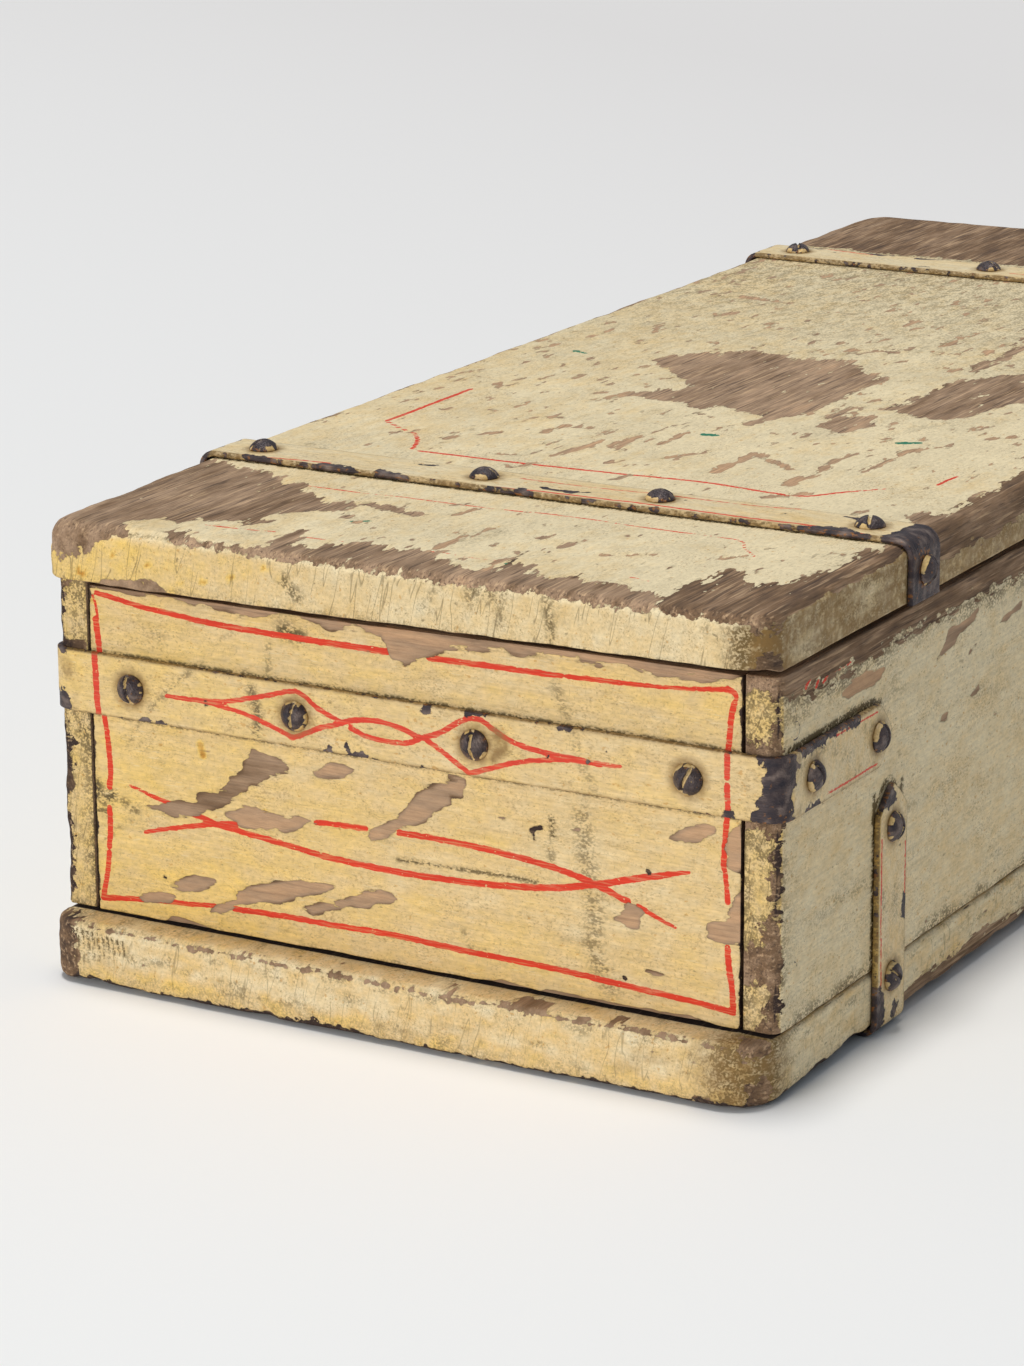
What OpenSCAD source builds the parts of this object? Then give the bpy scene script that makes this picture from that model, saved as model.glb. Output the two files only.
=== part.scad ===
// Painted wooden box, nailed up from boards and bound with iron straps.
// The lid turns on two strap hinges along the left side: on each, the strap that comes up from
// under the box and the strap that crosses the lid are rolled into eyes side by side on one pin.
// Millimetres. +Z is up and z = 0 is the surface that the box stands on. The origin is under the
// middle of the box, the painted end faces -Y and the hinges are on the -X side.

/* [Boards] */
// Length of the side boards
box_l = 580; // [340:10:900]
// Width over the side boards
box_w = 250; // [200:5:400]
// Height of the side boards
wall_h = 108.5; // [100:0.5:200]
// Thickness of the side boards
side_t = 12; // [9:0.5:20]
// Thickness of the end boards
end_t = 19; // [14:0.5:26]
// How far the end boards' tops lie below the side boards' tops
end_drop = 2.5; // [0:0.5:6]
// Thickness of the bottom board
bottom_t = 19; // [12:0.5:26]
// How far the bottom board stands out beyond each end
bottom_over = 12; // [0:0.5:25]

/* [Lid] */
// Thickness of the lid
lid_t = 18.5; // [14:0.5:26]
// How far the lid stands out beyond each end
lid_over = 10; // [0:0.5:25]
// Gap between the side boards and the closed lid
lid_gap = 1; // [0.4:0.1:2.5]

/* [Worn edges] */
// Radius of the upright corners of the sides
corner_r = 5; // [2:0.5:9]
// Radius of the bottom board's corners, seen from above
bottom_r = 16; // [3:0.5:20]
// Radius of the bottom board's lower edges
bottom_arris = 3; // [1:0.5:6]
// Radius of the lid's corners, seen from above
lid_r = 12; // [3:0.5:20]
// Radius of the lid's upper edges
lid_arris = 4; // [1:0.5:7]

/* [Iron straps] */
// Width of every strap
strap_w = 20; // [14:0.5:24]
// Thickness of every strap
strap_t = 2; // [1.5:0.5:3]
// Length of a strap's pointed end
spear_l = 8.5; // [4:0.5:14]
// Depth of the end straps' centre line below the side boards' tops
end_strap_drop = 33.5; // [20:0.5:36]
// Length of an end strap's right leg, up to where its point begins
end_leg = 63; // [45:1:90]
// Distance of the under straps' centre line from the end of the box
under_in = 73.5; // [68:0.5:120]
// Height of an under strap's right leg above the bottom board, up to where its point begins
under_leg = 49; // [38:1:54]

/* [Hinges] */
// Radius of the hinge pins
pin_r = 2.5; // [1.5:0.1:4]
// Clearance around a pin in the lid strap's eye
pin_play = 0.05; // [0.02:0.01:0.1]
// Gap between neighbouring eyes, and under the head beyond the lid strap's eye
eye_play = 0.3; // [0.2:0.1:1]
// Gap between the eyes and the side of the box
eye_stand = 0.3; // [0.2:0.1:1]
// Radius of a pin's riveted heads
pin_head_r = 3.9; // [3:0.1:4.2]
// Height of a pin's riveted heads
pin_head_h = 1.6; // [0.8:0.1:3]

/* [Screws] */
// Radius of the round screw heads
head_r = 4.75; // [3.5:0.05:6]
// Height of the round screw heads
head_h = 3.3; // [2:0.1:4]
// Width of the slot in a head
slot_w = 1.1; // [0.6:0.1:1.6]
// Depth of the slot in a head
slot_d = 1.5; // [0.6:0.1:1.8]
// Radius of a screw's shank
shank_r = 2.1; // [1.5:0.1:2.6]
// Clearance around a shank in its strap
shank_play = 0.3; // [0.1:0.1:0.8]
// Length of a screw's point
point_l = 4; // [2:0.5:6]
// Wood left between a screw's point and the inside of a side board
screw_cover = 1.5; // [0.5:0.5:3]
// Distance of the outer screws of an end strap from the sides of the box
end_screw_in = 28.5; // [22:0.5:40]
// Distance of the outer screws of a lid strap from the sides of the box
lid_screw_in = 17; // [10:0.5:40]
// Distance between the two middle screws of a strap
middle_screws = 62.5; // [40:0.5:90]
// Sideways shift of the two middle screws, which the smith set by eye
middle_shift = 5.6; // [0:0.1:10]
// Distance of the first screw of an end strap's leg from the end of the box
leg_screw_in = 18; // [12:0.5:30]
// Distance of the last screw of an end strap's leg from where the point begins
leg_screw_back = 1; // [0:0.5:6]
// Height of the upper screw of an under strap's leg above the bottom board
under_screw_h = 44; // [30:1:48]
// Depth of the lower screw of an under strap's leg below the bottom board's top
under_screw_drop = 3.5; // [3:0.5:8]

/* [Nails] */
// Radius of the nails
nail_r = 1.3; // [0.8:0.1:1.8]
// Length of the nails
nail_l = 44; // [36:1:60]
// Radius of the nail heads
nail_head_r = 2.8; // [2:0.1:4]
// Thickness of the nail heads, let in flush
nail_head_t = 1; // [0.5:0.1:1.5]
// Distance of the outermost nails of a row from the ends of the row's board
nail_in = 18; // [12:1:26]
// Number of nails at each corner
corner_nails = 3; // [2:1:3]
// Number of nails along each side board's lower edge
side_nails_count = 6; // [3:1:8]
// Number of nails along each end board's lower edge
end_nails_count = 3; // [2:1:4]
// Distance of the outermost lower-edge nails of a row from the corners of the box
edge_nail_in = 48; // [46:1:60]

/* [Hidden] */
$fn = 48;

// Colours
cream = "#d8c48e";
iron = "#3b3338";

// Facets of a worn corner, and of one half of a strap's point
arc_steps = 6;
spear_steps = 6;
spear_curve = 1.6;
// Extra length of a cutter past the face that it cuts through
over = 1;
// Gap between the point of an end strap's left leg and the under strap that it stops short of
leg_gap = 1;
// Turn of the slot from one screw to the next
slot_turn = 47;

half_w = box_w / 2;
half_l = box_l / 2;
bottom_z = strap_t;
floor_z = bottom_z + bottom_t;
wall_top = floor_z + wall_h;
lid_z = wall_top + lid_gap;
lid_top = lid_z + lid_t;
end_strap_z = wall_top - end_strap_drop;

// The pin's axis runs along Y, level with the middle of the gap under the lid
eye_r = pin_r + pin_play + strap_t;
hinge_x = -(half_w + eye_stand + eye_r);
hinge_z = wall_top + lid_gap / 2;
under_y = under_in - half_l;
lid_strap_y = under_y + strap_w + eye_play;

screw_l = strap_t + side_t - screw_cover;
end_leg_left = under_in - strap_w / 2 - leg_gap - spear_l;

// A quarter circle about c that starts at the angle a
function quarter(c, r, a) =
    [for (i = [0:arc_steps]) c + r * [cos(a + 90 * i / arc_steps), sin(a + 90 * i / arc_steps)]];

function reversed(points) = [for (i = [len(points) - 1:-1:0]) points[i]];

// A rectangle of half sizes x and y with its corners rounded
function rounded(x, y, r) = concat(
    quarter([x - r, y - r], r, 0),
    quarter([r - x, y - r], r, 90),
    quarter([r - x, r - y], r, 180),
    quarter([x - r, r - y], r, 270)
);

// The section of a board of half width x and thickness h with its two lower corners rounded
function section(x, h, r) = concat(
    quarter([r - x, r], r, 180),
    quarter([x - r, r], r, 270),
    [[x, h], [-x, h]]
);

// One face of a strap bent round a board of half width half_w, at the distance g from the board
function bent_face(r, left, right, g) = concat(
    [[-half_w - g, left]],
    quarter([r - half_w, r], r + g, 180),
    quarter([half_w - r, r], r + g, 270),
    [[half_w + g, right]]
);

// A strap's outline: it lies along the X axis and its two legs rise to left and right
function bent_strap(r, left, right) =
    concat(bent_face(r, left, right, strap_t), reversed(bent_face(r, left, right, 0)));

// Half of a strap's point, from its shoulder to its tip
function spear_side(side) =
    [for (i = [0:spear_steps]) let (t = i / spear_steps)
        [side * strap_w / 2 * (1 - pow(t, spear_curve)), spear_l * t]];

// The place of one of n evenly spaced nails between a and b
function spaced(a, b, n, i) = a + (b - a) * i / (n - 1);

// A board lying flat, with its corners and its lower edges worn round
module flat_board(x, y, h, plan_r, r) {
    intersection() {
        linear_extrude(h) polygon(rounded(x, y, plan_r));
        rotate([90, 0, 0]) linear_extrude(2 * y, center = true) polygon(section(x, h, r));
        rotate([90, 0, 90]) linear_extrude(2 * x, center = true) polygon(section(y, h, r));
    }
}

module both_ends() {
    children();
    mirror([0, 1, 0]) children();
}

module both_sides() {
    children();
    mirror([1, 0, 0]) children();
}

// A strap's point, drawn along +Y, with its thickness along +X
module side_spear() {
    rotate([0, 90, 0]) linear_extrude(strap_t) spear_outline();
}

module spear_outline() {
    polygon(concat(spear_side(1), reversed(spear_side(-1))));
}

// A round-headed screw that stands on the plane z = 0, with its shank downwards
module screw() {
    ball_r = (head_r * head_r + head_h * head_h) / (2 * head_h);
    difference() {
        intersection() {
            translate([0, 0, head_h - ball_r]) sphere(ball_r);
            translate([-ball_r, -ball_r, 0]) cube(2 * ball_r);
        }
        translate([-head_r, -slot_w / 2, head_h - slot_d]) cube([2 * head_r, slot_w, slot_d + over]);
    }
    shank();
}

module shank() {
    translate([0, 0, point_l - screw_l]) cylinder(h = screw_l - point_l, r = shank_r);
    translate([0, 0, -screw_l]) cylinder(h = point_l, r1 = shank_r / 4, r2 = shank_r);
}

module strap_hole() {
    translate([0, 0, -strap_t - over]) cylinder(h = strap_t + 2 * over, r = shank_r + shank_play);
}

module nail() {
    translate([0, 0, -nail_head_t]) cylinder(h = nail_head_t, r = nail_head_r);
    translate([0, 0, -nail_l]) cylinder(h = nail_l - nail_head_t, r = nail_r);
}

module at_end_strap_screws() {
    xs = [
        end_screw_in - half_w, -middle_shift - middle_screws / 2,
        -middle_shift + middle_screws / 2, half_w - end_screw_in
    ];
    for (i = [0:3]) translate([xs[i], -half_l - strap_t, end_strap_z])
        rotate([90, 0, 0]) rotate(i * slot_turn) children();
    for (y = [leg_screw_in, end_leg - leg_screw_back])
        translate([half_w + strap_t, y - half_l, end_strap_z])
            rotate([0, 90, 0]) rotate(y * slot_turn) children();
    for (y = [leg_screw_in, end_leg_left - leg_screw_back])
        translate([-half_w - strap_t, y - half_l, end_strap_z])
            rotate([0, -90, 0]) rotate(y * slot_turn) children();
}

module at_under_strap_screws() {
    for (z = [-under_screw_drop, under_screw_h]) both_sides()
        translate([half_w + strap_t, under_y, floor_z + z])
            rotate([0, 90, 0]) rotate(z * slot_turn) children();
}

module at_lid_strap_screws() {
    xs = [
        lid_screw_in - half_w, middle_shift - middle_screws / 2,
        middle_shift + middle_screws / 2, half_w - lid_screw_in
    ];
    for (i = [0:3]) translate([xs[i], lid_strap_y, lid_top + strap_t]) rotate(i * slot_turn) children();
    translate([half_w + strap_t, lid_strap_y, lid_z + lid_t / 2]) rotate([0, 90, 0]) children();
}

module at_corner_nails() {
    for (i = [0:corner_nails - 1]) {
        z = spaced(floor_z + nail_in, wall_top - nail_in, corner_nails, i);
        both_sides() both_ends()
            translate([half_w, end_t / 2 - half_l, z]) rotate([0, 90, 0]) children();
    }
}

module at_bottom_nails() {
    for (i = [0:side_nails_count - 1]) {
        y = spaced(edge_nail_in - half_l, half_l - edge_nail_in, side_nails_count, i);
        both_sides() translate([half_w - side_t / 2, y, bottom_z]) rotate([180, 0, 0]) children();
    }
    for (i = [0:end_nails_count - 1]) {
        x = spaced(edge_nail_in - half_w, half_w - edge_nail_in, end_nails_count, i);
        both_ends() translate([x, end_t / 2 - half_l, bottom_z]) rotate([180, 0, 0]) children();
    }
}

// Everything that is driven into the boards of the box
module box_fastenings() {
    both_ends() {
        at_end_strap_screws() shank();
        at_under_strap_screws() shank();
    }
    at_corner_nails() nail();
    at_bottom_nails() nail();
}

module bottom_board() {
    color(cream) difference() {
        translate([0, 0, bottom_z])
            flat_board(half_w, half_l + bottom_over, bottom_t, bottom_r, bottom_arris);
        both_ends() at_under_strap_screws() shank();
        at_bottom_nails() nail();
    }
}

module side_board() {
    intersection() {
        translate([0, 0, floor_z]) linear_extrude(wall_h) polygon(rounded(half_w, half_l, corner_r));
        translate([half_w - side_t, -half_l - over, floor_z - over])
            cube([side_t + over, box_l + 2 * over, wall_h + 2 * over]);
    }
}

module side_board_left() {
    color(cream) difference() {
        mirror([1, 0, 0]) side_board();
        box_fastenings();
    }
}

module side_board_right() {
    color(cream) difference() {
        side_board();
        box_fastenings();
    }
}

module end_board() {
    color(cream) difference() {
        translate([side_t - half_w, -half_l, floor_z])
            cube([box_w - 2 * side_t, end_t, wall_h - end_drop]);
        at_end_strap_screws() shank();
        at_corner_nails() nail();
        at_bottom_nails() nail();
    }
}

module lid_board() {
    color(cream) difference() {
        translate([0, 0, lid_top]) mirror([0, 0, 1])
            flat_board(half_w, half_l + lid_over, lid_t, lid_r, lid_arris);
        both_ends() at_lid_strap_screws() shank();
    }
}

module end_strap() {
    color(iron) difference() {
        union() {
            translate([0, -half_l, end_strap_z]) linear_extrude(strap_w, center = true)
                polygon(bent_strap(corner_r, end_leg_left, end_leg));
            translate([half_w, end_leg - half_l, end_strap_z]) side_spear();
            translate([-half_w - strap_t, end_leg_left - half_l, end_strap_z]) side_spear();
        }
        at_end_strap_screws() strap_hole();
    }
}

module hinge_rod(y, length, r) {
    translate([hinge_x, y, hinge_z]) rotate([90, 0, 0]) cylinder(h = length, r = r, center = true);
}

// The under strap is the fixed half of a hinge, and the box stands on it
module under_strap() {
    color(iron) difference() {
        union() {
            translate([0, under_y, bottom_z]) rotate([90, 0, 0]) linear_extrude(strap_w, center = true)
                polygon(bent_strap(bottom_arris, hinge_z - bottom_z, bottom_t + under_leg));
            translate([half_w, under_y, floor_z + under_leg]) rotate([90, 0, 90])
                linear_extrude(strap_t) spear_outline();
            hinge_rod(under_y, strap_w, eye_r);
        }
        hinge_rod(under_y, strap_w + 2 * over, pin_r);
        at_under_strap_screws() strap_hole();
    }
}

// The lid strap is the moving half of a hinge
module lid_strap() {
    color(iron) difference() {
        union() {
            translate([0, lid_strap_y, lid_top]) mirror([0, 0, 1]) rotate([90, 0, 0])
                linear_extrude(strap_w, center = true)
                    polygon(bent_strap(lid_arris, lid_top - hinge_z, lid_t));
            hinge_rod(lid_strap_y, strap_w, eye_r);
        }
        hinge_rod(lid_strap_y, strap_w + 2 * over, pin_r + pin_play);
        at_lid_strap_screws() strap_hole();
    }
}

module hinge_pin() {
    pin_start = under_y - strap_w / 2;
    pin_end = lid_strap_y + strap_w / 2 + eye_play;
    color(iron) {
        hinge_rod((pin_start + pin_end) / 2, pin_end - pin_start, pin_r);
        hinge_rod(pin_start - pin_head_h / 2, pin_head_h, pin_head_r);
        hinge_rod(pin_end + pin_head_h / 2, pin_head_h, pin_head_r);
    }
}

module lid_strap_screws() {
    color(iron) at_lid_strap_screws() screw();
}

module end_strap_screws() {
    color(iron) at_end_strap_screws() screw();
}

module under_strap_screws() {
    color(iron) at_under_strap_screws() screw();
}

module corner_nails_all() {
    color(iron) at_corner_nails() nail();
}

module bottom_nails_all() {
    color(iron) at_bottom_nails() nail();
}

bottom_board();
side_board_left();
side_board_right();
end_board();  // end_board_front
mirror([0, 1, 0]) end_board();  // end_board_rear
lid_board();
lid_strap();  // lid_strap_front
mirror([0, 1, 0]) lid_strap();  // lid_strap_rear
end_strap();  // end_strap_front
mirror([0, 1, 0]) end_strap();  // end_strap_rear
under_strap();  // under_strap_front
mirror([0, 1, 0]) under_strap();  // under_strap_rear
hinge_pin();  // hinge_pin_front
mirror([0, 1, 0]) hinge_pin();  // hinge_pin_rear
lid_strap_screws();  // lid_strap_screws_front
mirror([0, 1, 0]) lid_strap_screws();  // lid_strap_screws_rear
end_strap_screws();  // end_strap_screws_front
mirror([0, 1, 0]) end_strap_screws();  // end_strap_screws_rear
under_strap_screws();  // under_strap_screws_front
mirror([0, 1, 0]) under_strap_screws();  // under_strap_screws_rear
corner_nails_all();
bottom_nails_all();
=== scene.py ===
import math

import bpy
import numpy as np
from mathutils import Matrix, Vector


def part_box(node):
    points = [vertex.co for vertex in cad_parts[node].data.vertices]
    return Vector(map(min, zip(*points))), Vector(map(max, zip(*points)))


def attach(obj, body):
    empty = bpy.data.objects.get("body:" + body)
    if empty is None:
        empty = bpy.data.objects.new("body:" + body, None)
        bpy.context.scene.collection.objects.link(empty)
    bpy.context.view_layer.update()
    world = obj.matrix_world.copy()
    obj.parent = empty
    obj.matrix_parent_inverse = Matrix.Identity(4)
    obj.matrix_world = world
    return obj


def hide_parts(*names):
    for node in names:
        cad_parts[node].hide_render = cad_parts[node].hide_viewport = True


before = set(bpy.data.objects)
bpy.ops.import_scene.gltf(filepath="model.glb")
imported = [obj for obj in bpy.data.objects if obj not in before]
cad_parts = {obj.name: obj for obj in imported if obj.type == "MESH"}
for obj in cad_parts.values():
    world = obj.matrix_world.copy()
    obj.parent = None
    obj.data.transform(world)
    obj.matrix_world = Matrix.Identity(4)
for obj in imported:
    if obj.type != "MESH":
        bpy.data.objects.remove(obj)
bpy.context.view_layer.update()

# All sizes and places below are in millimetres, in the frame's own axes, unless a name says otherwise.
MM = 0.001
TINY = 1e-9
FAR = 8.0

# The near end's red frame and crossed curves, as strokes: a half width at each end, then points (x, z).
END_LINES = [
    (0.7, 1.0, [(-110, 124.5), (-99, 123), (-91.5, 122), (-82.5, 121.5), (-71.5, 120.5), (-57, 120),
        (-28.5, 119.7), (-2.5, 119.8)]),
    (1.0, 0.8, [(9, 119.8), (23.5, 120), (54, 120.4)]),
    (0.75, 0.6, [(56, 120.5), (73.5, 121), (86.5, 121.5)]),
    (0.5, 0.6, [(87.5, 121.6), (99, 122.5), (108, 123.4)]),
    (0.7, 0.6, [(108, 123.4), (110, 122.8), (110.7, 121.7), (110, 119.8)]),
    (0.4, 0.5, [(-111.5, 123.5), (-110.5, 122), (-109.6, 117)]),
    (1.1, 1.0, [(-110.4, 116), (-109.8, 111), (-109.3, 106)]),
    (0.9, 1.0, [(-108.3, 86), (-107.1, 76), (-106.6, 68), (-107.2, 62.4)]),
    (1.0, 0.9, [(-107.5, 55.5), (-107.4, 48.5), (-108, 42.6)]),
    (0.9, 0.9, [(-108.1, 41), (-108.6, 36.5), (-109.6, 31.5), (-111, 25.4)]),
    (0.9, 0.7, [(-111, 25.4), (-93, 27.6), (-78, 28.7), (-69, 29.6)]),
    (0.9, 0.9, [(-62, 29.7), (-45, 30.3), (-27, 30.4), (-9, 30.9), (3, 30.7), (26, 30), (50, 29.8),
        (67, 29), (83, 28.2), (100, 27.4), (110.5, 26.5)]),
    (0.9, 0.9, [(110, 120), (109, 115), (108.5, 109), (108, 105)]), (0.9, 0.9, [(108, 86), (107.5, 81)]),
    (0.9, 0.9, [(107.5, 79.5), (107, 73), (107, 70)]), (0.7, 0.9, [(107.5, 69), (108, 63.5), (108.3, 60)]),
    (1.0, 0.9, [(108.4, 46), (109, 39.5), (110, 33.5), (110.5, 26.5)]),
    (0.4, 0.9, [(-99.3, 64), (-93.7, 62.5), (-88, 61), (-84.5, 60.3)]),
    (0.9, 0.9, [(-78, 58.5), (-73.5, 57.8), (-68, 56.4), (-62.5, 55.6), (-50, 54.4), (-42.5, 53.6),
        (-31, 52.3)]),
    (1.0, 1.0, [(-29.3, 52), (-16, 51.5), (-1.5, 51.2), (12, 51.6), (26, 52.2), (39.7, 53.5),
        (53.3, 55.4), (66.7, 58.8), (76.6, 61.7), (86.5, 64.5)]),
    (1.0, 0.4, [(86.5, 64.5), (91.4, 65.9), (96.3, 67)]),
    (0.6, 0.9, [(-94.2, 49.7), (-85, 52.2), (-73.6, 55), (-64.3, 57), (-60.3, 57.3)]),
    (0.8, 0.9, [(-31.6, 62.4), (-22.7, 63), (-13.8, 63.2)]),
    (0.9, 1.0, [(-2.2, 63.8), (9, 63.9), (19.3, 63.7), (33, 63), (46.6, 61.8), (56.7, 60.3), (65, 58.3),
        (75.7, 54.8)]),
    (0.8, 0.4, [(79, 54), (86.5, 51), (91.5, 49.4)]),
]

# The same strokes' run across the near end strap, (x, z).
STRAP_LINES = [
    (1.0, 0.9, [(-109.8, 105.8), (-109.4, 97.3), (-109.3, 91), (-108.7, 86)]),
    (0.5, 0.7, [(-83.4, 95.8), (-76.4, 95.8), (-69, 96.2), (-64.4, 96.5)]),
    (0.6, 0.7, [(-64.4, 96.5), (-56.4, 98.3), (-47.3, 100.8), (-40, 103), (-36.5, 103.9)]),
    (0.7, 0.7, [(-36.5, 103.9), (-33, 102.5), (-29.5, 100), (-25, 98), (-20.8, 96.4)]),
    (0.5, 0.7, [(-71, 95.9), (-62, 95), (-54.7, 94), (-47.5, 92.2), (-42.2, 90.5), (-38, 88.9)]),
    (0.7, 0.7, [(-38, 88.9), (-33.3, 90.8), (-28, 93.5), (-22.6, 95.2), (-19, 96.6)]),
    (0.7, 0.7, [(-20.8, 96.4), (-13.7, 98), (-6.7, 98.4), (0.2, 97.5), (5.4, 96), (8, 95.6)]),
    (0.7, 0.7, [(-17.3, 95), (-12, 93.3), (-5, 92.7), (2, 93), (5.3, 94.2), (8, 95.6)]),
    (0.7, 0.7, [(8, 95.6), (14, 98), (19.2, 101.5), (23.6, 103.9)]),
    (0.7, 0.7, [(23.6, 103.9), (27.7, 103.9), (32.8, 101.3), (37.8, 99), (44.5, 97.5), (53, 96.8),
        (61, 96.5)]),
    (0.7, 0.4, [(61, 96.5), (67.8, 96.3), (74.4, 96.4)]),
    (0.7, 0.7, [(8.8, 95.3), (14, 92.7), (19, 89.7), (23.8, 87)]),
    (0.7, 0.5, [(23.8, 87), (29.3, 88.8), (36, 91.3), (44.5, 93.8), (53, 95.3), (59.5, 96), (67.8, 96)]),
    (0.8, 0.8, [(109, 105.5), (109, 98.2)]), (0.8, 0.8, [(109, 96), (109.4, 87)]),
]

# Bare places on the near end board: tone of the wood, then the outline (x, z).
END_CHIPS = [
    (0.5, [(-94.5, 58), (-90, 59.5), (-84, 61), (-75, 62.5), (-74.5, 65), (-71.5, 66), (-67.5, 67.5),
        (-64, 70), (-62, 72), (-59.5, 73), (-58, 74.5), (-57, 78), (-56, 80.5), (-54, 83), (-50, 82),
        (-45.5, 81), (-39.5, 80), (-42, 77), (-47.5, 74.5), (-52, 71.5), (-55, 71), (-56.5, 68.5),
        (-59.5, 66), (-64, 63), (-69.5, 60.5), (-73.5, 58.5), (-79, 56.5), (-84.5, 56), (-90, 57)]),
    (0.15, [(-65, 60), (-60.5, 61.5), (-57.5, 64), (-53, 64.5), (-49.5, 63), (-44, 62.5), (-37, 64),
        (-32.5, 63), (-37, 60), (-42.5, 58), (-48, 57), (-53.5, 56.5), (-59, 57), (-61.5, 58.5)]),
    (0.2, [(-32.5, 78.5), (-29.5, 80), (-26, 82), (-20.5, 82), (-17.5, 81), (-20.5, 79), (-24, 78),
        (-30, 77)]),
    (0.12, [(-13.5, 62.5), (-10.5, 64), (-6.5, 66), (-3, 68.5), (-0.5, 70.5), (1.5, 74), (4, 76.5),
        (7.5, 79), (12.5, 81.5), (18, 83), (15.5, 84.5), (21, 84), (21.5, 81.5), (20, 78), (16, 78),
        (16, 75.5), (12, 73), (7.5, 69.5), (4, 67), (0, 65.5), (-3.5, 63), (-8.5, 61), (-12, 60)]),
    (0.1, [(89.5, 76.5), (94.5, 80), (98.5, 82), (102, 83), (105, 82.5), (104, 80), (99.5, 77),
        (94.5, 75.5)]),
    (0.2, [(-97, 28), (-94, 30), (-89, 31), (-84.5, 31), (-83.5, 29.5), (-85.5, 28), (-91, 27),
        (-95.5, 26.5)]),
    (0.2, [(-86, 33.5), (-81.5, 36.5), (-76, 38.5), (-68.5, 38.5), (-68, 37), (-72.5, 34.5), (-78, 32.5),
        (-83, 32)]),
    (0.1, [(-70.5, 27.5), (-69, 30), (-65, 31.5), (-61.5, 33), (-60.5, 35.5), (-57.5, 37), (-54, 38.5),
        (-48.5, 40), (-41, 42.5), (-35.5, 43.5), (-28.5, 43.5), (-25, 43), (-28.5, 40.5), (-35.5, 38.5),
        (-39.5, 37), (-45, 34.5), (-51.5, 33.5), (-59.5, 31.5), (-62.5, 29), (-66.5, 27.5)]),
    (0.1, [(-36.5, 34.5), (-30.5, 36.5), (-25, 38.5), (-19.5, 40.5), (-16, 42.5), (-9, 44.5), (-6, 44),
        (-2.5, 42.5), (-5.5, 41), (-10.5, 40), (-13, 38), (-17, 37), (-19.5, 37.5), (-23, 36),
        (-28.5, 34.5), (-33.5, 32.5)]),
    (0.05, [(108, 80.5), (109.5, 83), (112.5, 85), (114, 77), (114, 69.5), (111.5, 69.5), (108, 70),
        (107.5, 76)]),
    (0.05, [(101.5, 52.5), (106, 54), (108.5, 56), (109.5, 59.5), (112.5, 65), (114, 65), (114, 47.5),
        (109.5, 47.5), (105, 46.5), (101.5, 48.5)]),
    (0.15, [(71, 48.5), (74, 52.5), (75.5, 55), (79.5, 54), (81.5, 52.5), (80, 50.5), (79, 47),
        (75, 46.5)]),
    (0.1, [(81.5, 34.5), (85, 34.5), (89, 34), (91, 33.5), (89.5, 32), (86.5, 32.5), (83.5, 33)]),
]

# The bare strips along the near end's top, by its lower edge, and foot, by its upper edge, (x, z).
END_TOP = [(-113, 126), (-102.5, 126), (-92.5, 125.6), (-84, 125.4), (-73, 124.8), (-62, 125.2),
    (-59.5, 124.6), (-57, 123.4), (-51.5, 123.7), (-44.5, 124.9), (-34.5, 125.5), (-28.5, 124.8),
    (-25.7, 123.3), (-21.5, 124.7), (-14.5, 125.4), (-7.5, 124.4), (-5, 120), (-4, 117.5), (1, 116.6),
    (4.5, 118), (8, 119.7), (11.5, 121), (15, 122.7), (20, 123.7), (27, 124), (35, 124.8), (40, 124.3),
    (45, 124.8), (52, 124.6), (58.5, 124.9), (66.5, 124.4), (75, 124.9), (83, 124), (92.5, 124.2),
    (97.5, 124), (103, 124.6), (110, 126), (113, 127)]
END_FOOT = [(-113, 20), (-88, 20.5), (-85, 23.3), (-82, 23.8), (-73.5, 22.3), (-68, 20.5), (22, 20.5),
    (26, 21.5), (33, 23), (42, 22.2), (46, 21), (48, 22.3), (55, 22.9), (67, 22.7), (80, 22), (90, 22.8),
    (96.5, 23.4), (101, 21.7), (105, 20.5), (113, 20.5)]

# Grime on the near end: strength, half width, points (x, z).
END_GRIME = [
    (0.9, 1.2, [(50, 77), (51, 71)]), (0.6, 1.5, [(49.5, 68), (50.5, 63)]),
    (0.5, 2.0, [(52, 117), (53.5, 113), (56, 109)]),
    (0.6, 3.4, [(61, 79), (61.5, 68.5), (63.5, 59.5), (65, 46), (64, 38.5), (70, 28)]),
    (0.9, 2.6, [(-42, 121.5), (-36, 120.5)]), (0.5, 1.4, [(-47, 116.5), (-48, 102)]),
    (0.9, 2.2, [(-112, 62.5), (-109.5, 58), (-106, 60)]), (0.7, 1.6, [(-104, 59), (-97.5, 56)]),
    (0.8, 1.5, [(-111.5, 54), (-107.5, 54)]),
    (0.9, 0.7, [(-2.5, 55.2), (5.3, 55.5), (16, 55.6), (26, 55.7), (36.5, 56), (46.5, 55.6)]),
    (0.5, 1.5, [(-56, 106), (-49, 86)]), (0.3, 0.7, [(-58.9, 119.5), (-66.3, 113.8), (-74.5, 104.5)]),
    (0.5, 0.7, [(-92, 89), (-97, 82), (-100, 76)]), (0.5, 1.2, [(20, 36), (24, 30)]),
    (0.4, 1.0, [(-110, 45), (-100, 52), (-96, 50)]), (0.4, 1.6, [(-88, 115), (-86, 112)]),
]

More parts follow.
